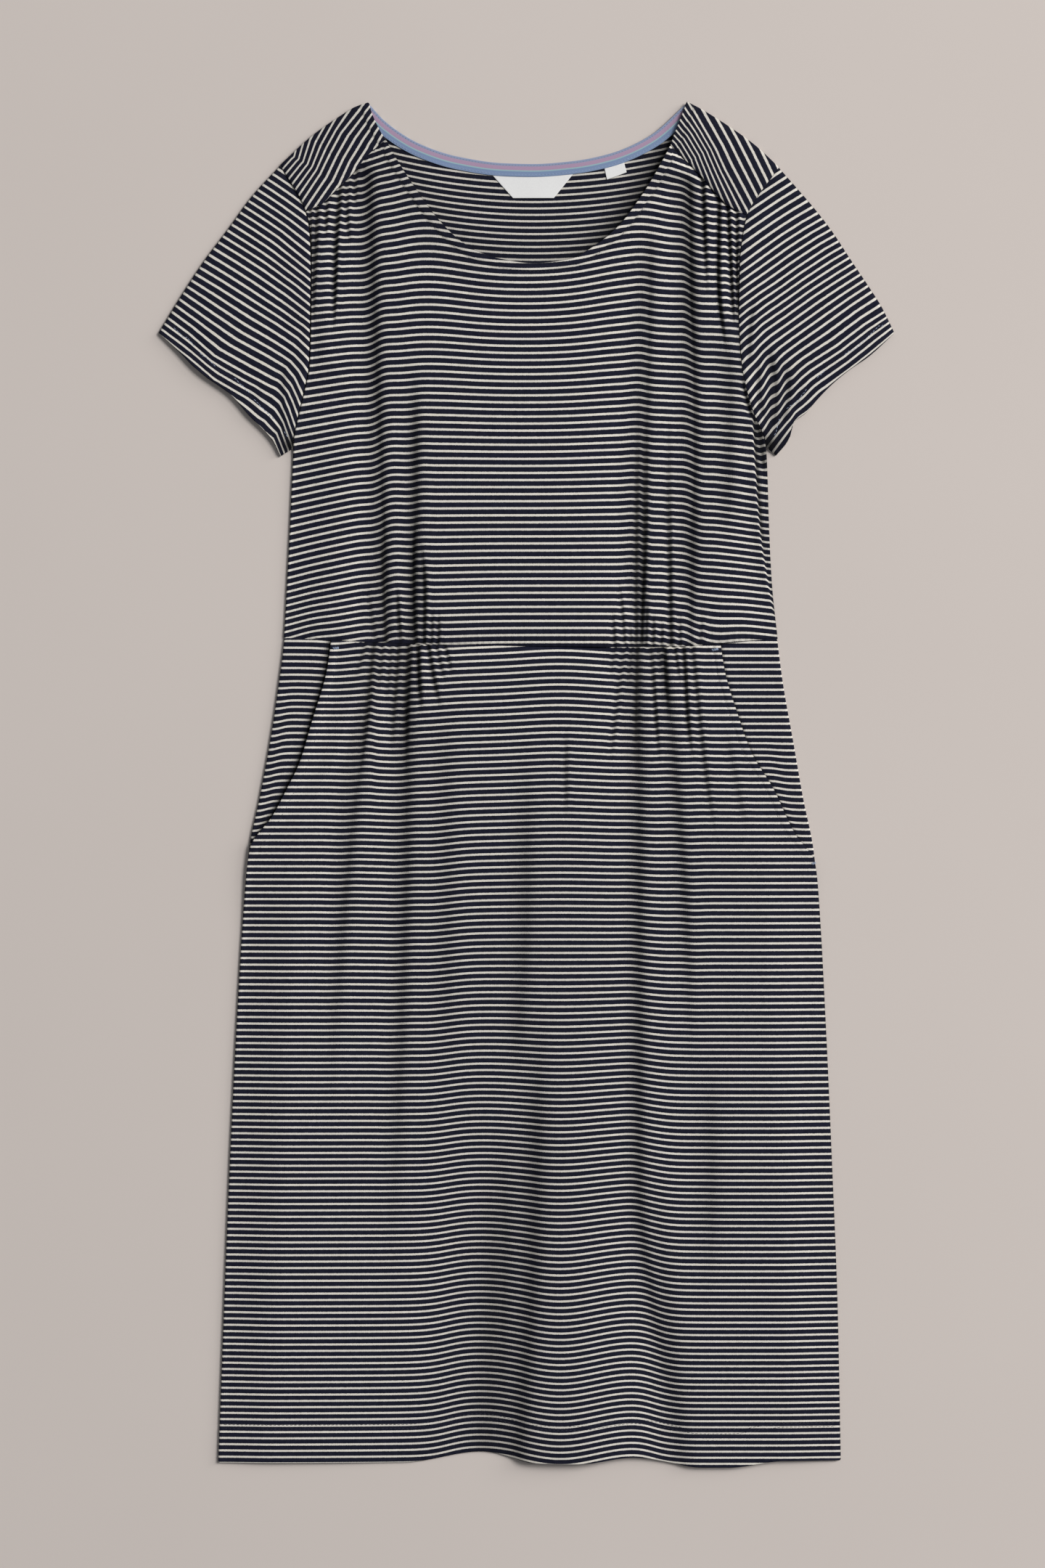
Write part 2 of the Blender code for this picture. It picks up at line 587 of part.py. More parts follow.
def edge_stretch(edge, low_y, high_y, count):
    """Points along a side outline between two heights."""
    y = np.linspace(low_y, high_y, count)
    return np.column_stack([smooth(edge, y), y])


def make_yokes():
    left_armhole = edge_stretch(LEFT_EDGE, YOKE_CORNER_LEFT, SHOULDER_LEFT, YOKE_ARMHOLE_POINTS)
    make_yoke("yoke_left", LEFT_YOKE_SEAM, LEFT_YOKE_NECK, LEFT_SHOULDER, left_armhole,
              BACK_NECK[0])
    right_armhole = edge_stretch(RIGHT_EDGE, YOKE_CORNER_RIGHT, SHOULDER_RIGHT,
                                 YOKE_ARMHOLE_POINTS)
    make_yoke("yoke_right", RIGHT_YOKE_SEAM[::-1], RIGHT_YOKE_NECK, RIGHT_SHOULDER[::-1],
              right_armhole, BACK_NECK[-1])


def make_hip_panel(name, edge, pocket, pocket_end, outward):
    """Side piece that shows beside the pocket mouth and runs under its edge."""
    y = np.concatenate([[pocket_end - HIP_FOOT], np.linspace(pocket_end, HIP_HEAD_Y, HIP_ROWS)])
    side = smooth(edge, y) - outward * HIP_SIDE_INSET
    mouth = smooth(pocket, y) - outward * HIP_TUCK
    across = np.linspace(0, 1, HIP_COLUMNS)[None, :]
    x = side[:, None] + (mouth - side)[:, None] * across
    y = y[:, None] * np.ones_like(x)
    y[-1] = smooth(WAIST, x[-1]) - GAP / 2
    if outward > 0:
        x, y = x[:, ::-1], y[:, ::-1]
    flat = np.zeros_like(x)
    slab(name, x, y, flat + HIP_TOP, flat + ON_BACK)


def make_sleeve(name, edge, fold_line, cuff, underarm, shoulder_y, outward, folds):
    """Short sleeve: one flattened tube, open at the armhole and at the cuff."""
    rings = SLEEVE_RINGS
    top_count = len(ARMHOLE_SHARES)
    waist_y = smooth(BACK_WAIST, smooth(edge, WAIST_SIDE_Y))
    heights = waist_y + (shoulder_y - waist_y) * np.array(ARMHOLE_SHARES[::-1])
    armhole = np.column_stack([smooth(edge, heights), heights])
    run = np.gradient(armhole, axis=0)
    run /= np.hypot(run[:, 0], run[:, 1])[:, None]
    armhole += outward * GAP * np.column_stack([-run[:, 1], run[:, 0]])
    armhole[0] = fold_line[0]
    armhole[-1] = underarm
    cuff_line = spaced(cuff, top_count)
    outer = spaced(fold_line, rings)
    inner = np.linspace(armhole[-1], cuff_line[-1], rings)
    x, y = patch(armhole, cuff_line, outer, inner)
    along = np.linspace(0, 1, rings)[:, None]
    across = np.linspace(0, 1, top_count)[None, :]
    middle = np.sin(np.pi * across) ** SLEEVE_CROWN_POWER
    armhole_share = 1 - ramp(along, SLEEVE_ARMHOLE_REACH)
    height = EDGE_HEIGHT + SLEEVE_CROWN * middle
    height = height + (ARMHOLE_HEIGHT - EDGE_HEIGHT) * armhole_share * SLEEVE_ARMHOLE_SHARE
    height = np.maximum(height + relief(x, y, folds), SLEEVE_LEAST)

    points = []
    faces = []
    under_columns = list(range(top_count - 1, -1, -1))
    loop = top_count + len(under_columns)
    for ring in range(rings):
        row = np.column_stack([x[ring], y[ring]])
        inner_row = row.copy()
        for end, neighbour in ((0, 1), (-1, -2)):
            step = row[neighbour] - row[end]
            inner_row[end] += step / np.hypot(*step) * CLOTH
        outer_wall = (row, 0.0, height[ring])
        inner_wall = (inner_row, CLOTH, height[ring] - CLOTH)
        for plan, low, high in (outer_wall, inner_wall):
            points += [(*plan[c], high[c]) for c in range(top_count)]
            points += [(*plan[c], low) for c in under_columns]
    outer_start = np.arange(rings) * 2 * loop
    for ring in range(rings - 1):
        here, after = outer_start[ring], outer_start[ring + 1]
        for k in range(loop):
            n = (k + 1) % loop
            faces += [(here + k, here + n, after + n), (here + k, after + n, after + k)]
            a, b, c, d = here + loop + k, here + loop + n, after + loop + n, after + loop + k
            faces += [(a, c, b), (a, d, c)]
    for start, flip in ((outer_start[0], True), (outer_start[-1], False)):
        for k in range(loop):
            n = (k + 1) % loop
            quad = (start + k, start + n, start + loop + n, start + loop + k)
            quad = quad[::-1] if flip else quad
            faces += [(quad[0], quad[1], quad[2]), (quad[0], quad[2], quad[3])]
    if outward < 0:
        faces = [face[::-1] for face in faces]
    faces = [tuple(int(i) for i in face) for face in faces]
    finish_mesh(name, np.array(points), faces, NAVY)


def make_sleeves():
    make_sleeve("sleeve_left", LEFT_EDGE, LEFT_SLEEVE_FOLD, LEFT_CUFF, UNDERARM_LEFT,
                SHOULDER_LEFT, -1, LEFT_SLEEVE_FOLDS)
    make_sleeve("sleeve_right", RIGHT_EDGE, RIGHT_SLEEVE_FOLD, RIGHT_CUFF, UNDERARM_RIGHT,
                SHOULDER_RIGHT, 1, RIGHT_SLEEVE_FOLDS)


def tape_lines(count):
    """The neck edge and the tape's lower edge, as evenly spaced points."""
    edge = spaced(BACK_NECK, count)
    along = np.gradient(edge, axis=0)
    along /= np.hypot(along[:, 0], along[:, 1])[:, None]
    down = np.column_stack([along[:, 1], -along[:, 0]])
    return edge + down * 0.5, edge + down * (0.5 + TAPE_WIDTH)


def make_neck_trims():
    upper, lower = tape_lines(TAPE_POINTS)
    x = np.stack([lower[:, 0], upper[:, 0]])
    y = np.stack([lower[:, 1], upper[:, 1]])
    flat = np.zeros_like(x)
    slab("neck_tape", x, y, flat + ON_BACK + TRIM, flat + ON_BACK, TAPE_BLUE)

    tape_foot = lower[2:-2]
    foot = spaced(NECK_LABEL_FOOT, LABEL_POINTS)
    top_x = np.linspace(*NECK_LABEL_TOP, LABEL_POINTS)
    top_y = np.interp(top_x, tape_foot[:, 0], tape_foot[:, 1]) - GAP
    x = np.stack([foot[:, 0], top_x])
    y = np.stack([foot[:, 1], top_y])
    flat = np.zeros_like(x)
    slab("neck_label", x, y, flat + ON_BACK + TRIM, flat + ON_BACK, LABEL_WHITE)

    low_left, low_right, high_right, high_left = CARE_LABEL_CORNERS
    x = np.array([[low_left[0], low_right[0]], [high_left[0], high_right[0]]])
    y = np.array([[low_left[1], low_right[1]], [high_left[1], high_right[1]]])
    y[1] = np.interp(x[1], tape_foot[:, 0], tape_foot[:, 1]) - GAP
    flat = np.zeros_like(x)
    slab("care_label", x, y, flat + ON_BACK + TRIM, flat + ON_BACK, LABEL_WHITE)


def main():
    clear_scene()
    make_back_bodice()
    make_back_skirt()
    make_front_bodice()
    make_front_skirt()
    make_yokes()
    make_hip_panel("hip_panel_left", LEFT_EDGE, LEFT_POCKET, POCKET_END_LEFT, -1)
    make_hip_panel("hip_panel_right", RIGHT_EDGE, RIGHT_POCKET, POCKET_END_RIGHT, 1)
    make_sleeves()
    make_neck_trims()


main()
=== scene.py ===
"""Looks of the short-sleeved jersey dress, laid flat with its front up.

Cloth pieces are fine shells on the frame's solids. The tables and working lengths are
in millimetres, as in the frame's own source, and are scaled to metres where a mesh is
made. +Y runs to the neck, +X to the right, and left and right are as seen from above.
Each cloth mesh has a UV map named Cloth: U runs along the stripes and V across them, so
the stripes follow the cloth and not the floor. Its shade attribute is painted shade: 0 for
plain cloth, going up to 1 where a tight fold keeps the light out, and also painted
under edges, laps and pocket mouths, at seams and over broad hollows.
"""
from collections import namedtuple

import bpy
import numpy as np
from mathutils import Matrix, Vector


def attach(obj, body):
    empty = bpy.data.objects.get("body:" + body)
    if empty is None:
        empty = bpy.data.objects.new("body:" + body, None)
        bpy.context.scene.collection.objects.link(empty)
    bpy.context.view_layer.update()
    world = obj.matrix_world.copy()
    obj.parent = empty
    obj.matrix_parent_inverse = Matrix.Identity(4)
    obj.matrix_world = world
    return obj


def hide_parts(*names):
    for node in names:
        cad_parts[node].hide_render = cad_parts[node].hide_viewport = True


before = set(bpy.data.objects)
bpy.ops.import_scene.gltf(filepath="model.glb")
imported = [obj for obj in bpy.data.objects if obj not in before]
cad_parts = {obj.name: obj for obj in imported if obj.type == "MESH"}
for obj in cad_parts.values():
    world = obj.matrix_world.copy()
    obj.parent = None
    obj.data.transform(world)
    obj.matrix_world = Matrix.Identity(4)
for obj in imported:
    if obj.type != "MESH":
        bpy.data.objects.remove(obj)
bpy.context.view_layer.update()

MM = 0.001
STRIPE = 5.5
TINY = 1e-6

# Outlines: rows of (height y, across x)
LEFT_EDGE = (
    (-527.0, -239.4), (-404.0, -234.8), (-292.0, -230.3), (-179.0, -224.7), (-89.0, -219.1),
    (-49.5, -215.7), (-11.0, -207.8), (34.0, -199.4), (79.0, -192.7), (113.0, -188.5),
    (158.0, -185.9), (203.0, -183.6), (248.0, -181.6), (269.0, -180.4), (285.0, -177.0),
    (302.0, -173.0), (327.0, -168.2), (366.0, -167.3), (405.0, -166.9), (428.0, -167.9),
    (444.8, -171.2), (480.4, -190.8),
)
RIGHT_EDGE = (
    (-527.0, 244.0), (-404.0, 241.5), (-292.0, 237.1), (-179.0, 232.0), (-89.0, 226.9),
    (-49.5, 223.0), (-11.0, 215.2), (34.0, 207.3), (79.0, 199.4), (113.0, 195.0),
    (158.0, 190.4), (203.0, 188.2), (248.0, 186.8), (264.0, 185.6), (288.0, 176.2),
    (308.0, 170.2), (327.0, 166.6), (366.0, 164.4), (405.0, 165.1), (428.0, 167.8),
    (441.2, 170.8), (478.8, 195.4),
)
LEFT_POCKET = (
    (-49.5, -214.6), (-23.6, -196.6), (-2.2, -185.3), (16.3, -176.3), (49.5, -166.2),
    (88.3, -155.0), (111.9, -151.6),
)
RIGHT_POCKET = (
    (-59.6, 223.6), (-38.2, 208.4), (-2.2, 191.0), (23.6, 175.2), (54.0, 164.0),
    (88.3, 153.8), (109.5, 150.5),
)
# Cross seams and edges: rows of (across x, height y)
HEM = (
    (-241.0, -525.9), (-96.0, -525.9), (-35.0, -517.4), (8.0, -525.4), (41.0, -525.9),
    (82.0, -521.4), (137.0, -529.3), (157.0, -529.3), (201.0, -524.2), (246.0, -524.2),
)
WAIST = (
    (-190.0, 113.6), (-152.0, 111.9), (-115.0, 110.2), (-58.0, 108.4), (71.0, 106.9),
    (120.0, 107.4), (150.0, 109.4), (175.0, 111.8), (197.0, 112.6),
)
BACK_WAIST = ((-190.0, 113.6), (197.0, 112.6))
LEFT_YOKE_SEAM = (
    (-171.2, 444.8), (-160.0, 449.6), (-147.0, 462.0), (-132.5, 476.2), (-123.5, 487.0),
    (-109.4, 499.8),
)
FRONT_NECK = (
    (-109.4, 499.8), (-100.4, 483.8), (-90.0, 467.4), (-78.5, 450.8), (-67.8, 437.1),
    (-53.2, 422.7), (-37.6, 412.9), (-20.0, 407.2), (5.3, 403.9), (32.6, 407.2),
    (55.4, 419.6), (72.3, 434.2), (86.9, 453.4), (101.8, 477.0), (111.7, 495.6),
)
RIGHT_YOKE_SEAM = (
    (111.7, 495.6), (119.5, 487.1), (128.5, 479.0), (137.0, 470.2), (146.0, 459.6),
    (156.7, 448.9), (170.8, 441.2),
)
LEFT_SHOULDER = (
    (-190.8, 480.4), (-165.7, 503.3), (-144.3, 518.3), (-132.6, 525.2), (-122.3, 528.8),
)
BACK_NECK = (
    (-122.3, 528.8), (-107.9, 513.8), (-81.8, 497.3), (-52.6, 487.7), (-17.7, 482.7),
    (5.3, 482.1), (35.7, 484.3), (63.8, 489.9), (94.8, 503.6), (124.2, 529.3),
)
RIGHT_SHOULDER = (
    (124.2, 529.3), (137.3, 522.4), (156.9, 510.2), (176.9, 495.8), (195.4, 478.8),
)
LEFT_YOKE_NECK = ((-109.4, 499.8), (-115.0, 509.1), (-120.7, 522.6), (-122.3, 528.8))
RIGHT_YOKE_NECK = ((111.7, 495.6), (115.0, 505.1), (119.0, 515.2), (124.2, 529.3))
LEFT_SLEEVE_FOLD = (
    (-191.4, 480.4), (-213.1, 456.8), (-231.2, 432.0), (-251.0, 405.6), (-270.8, 375.2),
    (-285.6, 350.4),
)
RIGHT_SLEEVE_FOLD = (
    (196.0, 478.8), (224.4, 446.1), (236.0, 431.2), (252.4, 406.4), (265.7, 386.6),
    (275.6, 371.0), (285.6, 350.4),
)
LEFT_CUFF = (
    (-285.6, 350.4), (-270.8, 336.9), (-254.5, 320.6), (-229.8, 302.6), (-216.3, 287.4),
    (-196.6, 266.1), (-191.0, 254.8),
)
RIGHT_CUFF = (
    (285.6, 350.4), (265.7, 332.2), (252.4, 323.1), (239.2, 312.4), (226.1, 299.2),
    (217.8, 289.2), (207.8, 281.0), (203.3, 267.0), (193.8, 255.4),
)
SHOULDER_LEFT, SHOULDER_RIGHT = 480.4, 478.8
YOKE_CORNER_LEFT, YOKE_CORNER_RIGHT = 444.8, 441.2
POCKET_END_LEFT, POCKET_END_RIGHT = -49.5, -59.6
UNDERARM_LEFT, UNDERARM_RIGHT = (-181.8, 260.6), (187.4, 260.6)
SKIRT_LEFT, SKIRT_RIGHT = LEFT_EDGE[:5] + LEFT_POCKET, RIGHT_EDGE[:5] + RIGHT_POCKET

# A fold's line runs through three points from its top to its foot. The cloth drops to the
# left over about its width there, and comes up again over LEE times its width. The crease
# column is the share of the depth in a sharp line, and shift is how far the stripes step
# across it. The fades are the lengths over which it dies out at each end.
LEE = 5.0
# Painted shade in a fold: the cloth's colour is darker by WIDE_SHADE for each millimetre of
# its depth, and by CREASE_SHADE for each millimetre in the sharp line, up to MOST_SHADE
WIDE_SHADE, CREASE_SHADE, MOST_SHADE = 0.055, 0.42, 0.8
Fold = namedtuple("Fold", "top_x top_y mid_x mid_y low_x low_y depth width crease shift "
                          "fade_top fade_low")

BODICE_FOLDS = (
    Fold(-167.2, 445, -166.8, 425, -166.6, 398, 4.0, 1.4, 0.3, 0.5, 0, 20),
    Fold(-161.7, 448, -163.6, 415, -166.2, 350, 5.4, 1.7, 0.3, 0.5, 0, 40),
    Fold(-154.2, 456, -155.0, 440, -155.4, 422, 3.6, 1.5, 0.3, 0.5, 0, 16),
    Fold(-144.0, 464, -147.2, 425, -149.4, 345, 5.6, 1.9, 0.3, 0.7, 0, 50),
    Fold(-138.4, 471, -139.0, 445, -136.4, 415, 2.0, 2.0, 0.3, 0.5, 0, 20),
    Fold(-131.9, 477, -132.4, 462, -132.5, 445, 2.4, 1.8, 0.3, 0.5, 0, 14),
    Fold(-124.0, 165, -118.4, 124, -115.6, 109, 2.4, 2.0, 0.3, 0.3, 30, 0),
    Fold(-122.6, 482, -116.0, 320, -107.7, 109, 6.9, 7.6, 0.0, 1.3, 12, 0),
    Fold(-111.8, 220, -110.4, 158, -108.2, 109, 4.6, 2.0, 0.3, 0.4, 50, 0),
    Fold(-100.4, 158, -99.0, 130, -97.0, 109, 3.4, 1.8, 0.3, 0.3, 24, 0),
    Fold(-86.3, 340, -85.8, 230, -86.6, 109, 4.9, 6.0, 0.1, 0.5, 90, 0),
    Fold(-86.2, 215, -87.5, 158, -86.3, 109, 4.0, 1.7, 0.3, 0.4, 50, 0),
    Fold(-81.4, 192, -78.6, 150, -79.0, 109, 3.6, 2.0, 0.3, 0.3, 36, 0),
    Fold(-72.5, 140, -73.0, 122, -73.5, 108, 2.0, 1.7, 0.3, 0.3, 18, 0),
    Fold(-67.6, 136, -67.8, 120, -68.2, 108, 2.4, 1.7, 0.3, 0.3, 16, 0),
    Fold(67.0, 138, 68.0, 120, 68.9, 106, 2.0, 1.7, 0.3, 0.3, 18, 0),
    Fold(71.7, 163, 75.0, 130, 76.6, 106, 2.0, 1.8, 0.3, 0.3, 30, 0),
    Fold(80.5, 130, 81.0, 118, 81.6, 106, 2.0, 1.6, 0.3, 0.3, 14, 0),
    Fold(97.0, 450, 91.4, 265, 88.4, 106, 6.0, 7.0, 0.0, -0.8, 70, 70),
    Fold(87.4, 310, 86.2, 214, 85.6, 106, 4.0, 1.8, 0.3, 0.4, 110, 0),
    Fold(92.2, 310, 92.2, 214, 89.6, 106, 4.6, 1.9, 0.3, 0.4, 110, 0),
    Fold(94.0, 150, 93.5, 130, 92.6, 106, 2.4, 1.7, 0.3, 0.3, 22, 0),
    Fold(98.8, 135, 98.7, 120, 98.4, 106, 2.4, 1.7, 0.3, 0.3, 16, 0),
    Fold(105.2, 130, 105.1, 118, 104.9, 106, 2.0, 1.7, 0.3, 0.3, 14, 0),
    Fold(110.6, 300, 111.2, 200, 112.4, 106, 3.3, 2.2, 0.3, 0.3, 110, 0),
    Fold(119.0, 135, 119.2, 120, 119.5, 106, 1.4, 1.7, 0.3, 0.3, 16, 0),
    Fold(125.6, 476, 129.8, 270, 127.0, 106, 6.9, 7.2, 0.0, -1.3, 12, 90),
    Fold(126.4, 474, 126.8, 383, 127.6, 300, 2.4, 4.2, 0.2, -0.5, 16, 70),
    Fold(129.6, 190, 128.2, 150, 126.8, 106, 1.6, 3.6, 0.1, -0.5, 60, 0),
    Fold(154.0, 390, 157.5, 290, 154.0, 175, 4.6, 9.0, 0.0, 0.0, 70, 60),
    Fold(179.4, 284, 183.0, 262, 185.8, 240, 5.0, 2.2, 0.3, 0.6, 10, 10),
    Fold(167.4, 318, 172.4, 296, 177.4, 276, 3.6, 2.0, 0.3, 0.6, 14, 14),
    Fold(136.4, 136, 135.6, 120, 134.4, 106, 1.0, 1.7, 0.3, 0.3, 16, 0),
    Fold(137.3, 470, 138.7, 422, 140.3, 372, 4.4, 1.9, 0.3, 0.5, 0, 60),
    Fold(149.8, 456, 149.2, 394, 155.0, 332, 4.9, 1.8, 0.3, -0.5, 0, 40),
    Fold(156.6, 450, 158.6, 405, 161.4, 350, 4.6, 1.6, 0.3, 0.5, 0, 30),
    Fold(163.6, 446, 163.6, 405, 166.4, 340, 3.4, 1.5, 0.3, 0.5, 0, 40),
)
SKIRT_FOLDS = (
    Fold(-124.0, 111, -128.0, 95, -131.5, 78, 2.5, 2.0, 0.3, 0.3, 0, 20),
    Fold(-117.5, 111, -137.4, -48, -156.0, -290, 5.4, 8.2, 0.0, 0.4, 0, 270),
    Fold(-117.6, 111, -122.4, 66, -130.0, 0, 3.8, 2.0, 0.3, 0.4, 0, 50),
    Fold(-110.4, 111, -112.4, 90, -115.0, 68, 2.5, 1.8, 0.3, 0.3, 0, 24),
    Fold(-104.2, 111, -106.0, 85, -108.4, 58, 2.5, 1.8, 0.3, 0.3, 0, 24),
    Fold(-98.2, 111, -102.4, 50, -104.0, 18, 3.9, 2.0, 0.3, 0.3, 0, 40),
    Fold(-90.8, 110, -95.0, -123, -108.0, -433, 5.6, 8.6, 0.0, 0.5, 0, 380),
    Fold(-90.8, 110, -92.4, 66, -94.0, 0, 5.0, 2.2, 0.3, 0.4, 0, 56),
    Fold(-83.6, 110, -83.2, 88, -80.8, 52, 4.3, 2.2, 0.3, 0.3, 0, 24),
    Fold(-76.2, 110, -70.8, 79, -65.0, 55, 3.4, 2.0, 0.3, 0.3, 0, 24),
    Fold(-69.8, 110, -66.0, 92, -61.0, 76, 2.0, 1.8, 0.3, 0.3, 0, 16),
    Fold(-63.4, 110, -60.0, 96, -56.5, 82, 2.0, 1.8, 0.3, 0.3, 0, 16),
    Fold(0.2, 56, -0.8, -95, -9.8, -240, 3.6, 10.0, 0.0, 0.0, 120, 60),
    Fold(10.4, -150, 5.4, -360, -7.0, -530, 6.0, 11.5, 0.0, 0.0, 150, 0),
    Fold(-15.0, -240, -23.0, -432, -29.0, -530, 7.6, 13.0, 0.0, 0.0, 150, 0),
    Fold(-64.0, 80, -62.0, -60, -62.0, -250, 2.6, 11.0, 0.0, 0.0, 70, 120),
    Fold(31.2, 50, 30.7, 5, 31.2, -30, 1.4, 2.7, 0.3, 0.2, 30, 24),
    Fold(70.0, 108, 67.6, 95, 65.4, 80, 2.0, 1.8, 0.3, 0.3, 0, 16),
    Fold(76.8, 108, 70.6, 62, 64.4, 12, 1.8, 2.1, 0.3, 0.4, 0, 36),
    Fold(82.6, 108, 80.6, 90, 79.0, 70, 2.4, 1.8, 0.3, 0.3, 0, 20),
    Fold(87.6, 108, 87.2, -300, 121.0, -530, 5.3, 8.0, 0.0, -0.3, 0, 230),
    Fold(96.0, -260, 108.0, -400, 121.0, -530, 3.6, 13.0, 0.0, 0.0, 170, 0),
    Fold(86.8, 108, 86.0, 66, 85.2, 0, 4.6, 2.2, 0.3, 0.3, 0, 56),
    Fold(97.4, 108, 100.0, 62, 103.6, 12, 2.8, 2.0, 0.3, 0.3, 0, 40),
    Fold(102.6, 108, 104.0, 96, 105.4, 84, 2.0, 1.7, 0.3, 0.3, 0, 12),
    Fold(107.0, 108, 123.2, -95, 128.3, -250, 4.2, 6.8, 0.0, -0.4, 0, 190),
    Fold(107.0, 108, 108.3, 85, 111.2, 45, 3.6, 1.9, 0.3, -0.3, 0, 36),
    Fold(115.0, 108, 117.4, 92, 119.6, 74, 2.4, 1.8, 0.3, 0.3, 0, 20),
    Fold(122.2, 108, 125.7, 46, 129.2, 15, 3.6, 2.0, 0.3, 0.3, 0, 36),
    Fold(128.6, 109, 138.8, 12, 147.7, -50, 2.0, 2.5, 0.3, 0.3, 0, 60),
    Fold(154.4, 46, 164.7, -8, 171.3, -40, 1.5, 4.0, 0.1, 0.2, 24, 24),
    Fold(143.0, -190, 143.4, -292, 140.0, -420, 3.0, 11.0, 0.0, 0.0, 90, 100),
)
LEFT_SLEEVE_FOLDS = (
    Fold(-186.0, 335, -189.0, 303, -188.5, 266, 1.2, 3.6, 0.1, 0.3, 24, 16),
    Fold(-205.0, 318, -208.5, 300, -210.5, 284, 0.8, 4.5, 0.0, 0.2, 16, 12),
)
RIGHT_SLEEVE_FOLDS = (
    Fold(177.0, 378, 173.5, 350, 172.6, 320, 1.8, 3.0, 0.2, 0.5, 16, 16),
    Fold(180.0, 330, 180.5, 306, 185.5, 280, 1.8, 2.6, 0.3, 0.3, 14, 12),
    Fold(187.5, 344, 193.0, 308, 192.0, 272, 2.8, 3.8, 0.2, 1.3, 22, 12),
    Fold(201.5, 332, 203.5, 304, 198.5, 276, 2.2, 3.8, 0.2, 0.9, 20, 10),
    Fold(216.5, 318, 212.0, 302, 207.5, 288, 0.9, 3.0, 0.1, 0.4, 14, 8),
)

# How the stripes lie on the front bodice: rows of (height y, value)
BODICE_PITCH, BODICE_ORIGIN = 5.453, 115.9
LEFT_LIFT = ((109, -1.5), (158, -1.1), (214, -0.2), (270, 1.0), (327, 2.8), (383, 5.8),
             (440, 10.4), (500, 15.0))
RIGHT_LIFT = ((109, 0.0), (158, 0.4), (214, 1.5), (270, 2.9), (327, 5.4), (383, 9.4),
              (440, 13.6), (500, 18.0))
LEFT_FALL = ((109, 0.20), (158, 0.226), (214, 0.205), (270, 0.174), (327, 0.12),
             (383, 0.085), (440, 0.05))
RIGHT_FALL = ((109, 0.115), (158, 0.13), (214, 0.15), (270, 0.095), (327, 0.073),
              (383, 0.015), (440, 0.0))
# On the skirt: rows of (height y, stripes counted from the waist), and of (height y, value)
SKIRT_COUNT = ((-540.0, 128.7), (-517.5, 124), (-406.7, 101), (-294.8, 78), (-180.6, 55),
               (-69.2, 33), (43.3, 11), (101.2, 0), (120.0, -3.6))
HEM_LEFT = ((-530, 8.5), (-436, 7.6), (-324, 5.4), (-215, 4.8), (-100, 4.2), (-20, 4.4),
            (70, 6.2))
HEM_MIDDLE = ((-530, 8.8), (-436, 8.4), (-324, 5.0), (-215, 2.6), (-100, -0.6), (70, -2.8))
HEM_RIGHT = ((-530, 8.6), (-436, 9.8), (-324, 7.2), (-215, 4.6), (-100, 2.4), (70, -0.4))
# On the back bodice: the first stripe's height, the pitches inside and below, and the bow
BACK_ORIGIN, BACK_PITCH, BELOW_PITCH = 447.2, 4.98, 5.3
BACK_BOW, BACK_MIDDLE = 0.0011, 5.9

# Stripes of the sleeves and yokes: a few stripes drawn as (across x, height y) rows
LEFT_SLEEVE_STRIPES = (
    (0, ((-207, 467), (-197, 460.5), (-186, 453), (-175, 445))),
    (5, ((-223, 444.4), (-208, 434.8), (-193, 424.7), (-172.4, 407.8))),
    (10, ((-238, 420.2), (-219, 408.4), (-204, 398.8), (-182, 383.1), (-168, 371.8))),
    (15, ((-254, 394.3), (-239, 385.3), (-216, 370.7), (-193, 356.6), (-178, 346.5),
          (-169.6, 338.6))),
    (19, ((-269, 376.3), (-247, 360.6), (-225, 345.4), (-201, 332.4), (-186, 323.4),
          (-180, 316.1), (-173.5, 302))),
    (22, ((-284, 366.2), (-262, 349.9), (-242, 332.4), (-218, 318.9), (-194, 306.6),
          (-187.6, 300.4), (-184, 291.9), (-180.8, 282))),
    (25, ((-284, 347.6), (-262, 331.3), (-242, 314.4), (-218, 300.4), (-211, 295.3),
          (-199, 286.3), (-191, 276.2), (-187.6, 267.2))),
)
RIGHT_SLEEVE_STRIPES = (
    (0, ((168.5, 442.1), (191, 457.3), (206, 466.9), (216, 473))),
    (5, ((168.5, 405), (183, 415.7), (198, 426.4), (213, 435.9), (228.7, 444.9))),
    (10, ((164.5, 369), (179, 379.7), (194, 389.8), (209, 400.5), (230.9, 415.1),
          (238.8, 419.6))),
    (15, ((171.8, 339.8), (185.3, 352.1), (200, 362.3), (221.9, 378), (236.5, 387.6),
          (252.3, 397.7))),
    (19, ((171.3, 303.2), (182.5, 316.7), (194.3, 330.2), (208.7, 340.9), (230.9, 356.6),
          (252.8, 372.4), (268, 382.5))),
    (22, ((179.7, 287.4), (192.1, 300.9), (203.3, 314.4), (217.4, 325.7), (240.5, 340.3),
          (261.8, 356.6), (281.5, 369))),
    (26, ((193.8, 270.6), (207.8, 288.6), (218, 296.4), (226, 304.3), (239.3, 313.9),
          (252.3, 323.4), (265.8, 334.1), (281.5, 347))),
)
LEFT_YOKE_STRIPES = (
    (4, ((-176.9, 464), (-166.2, 478.7), (-159.5, 495.6), (-151, 511.3))),
    (6, ((-174.7, 450.6), (-160, 473), (-152.2, 489), (-143.7, 505.1), (-132.5, 519.2))),
    (8, ((-164.5, 447.2), (-150, 468), (-142, 485), (-132.5, 501.2), (-121.5, 516.4))),
)
RIGHT_YOKE_STRIPES = (
    (4, ((176.9, 459.6), (165.7, 481.5), (157.8, 497.8), (149.3, 513.6))),
    (2, ((167, 452), (153.5, 477), (146.5, 492.5), (133.6, 515.3))),
    (0, ((158.4, 449.4), (147.1, 473.6), (139.8, 490.5), (131.3, 505.1), (120.7, 520.9))),
)

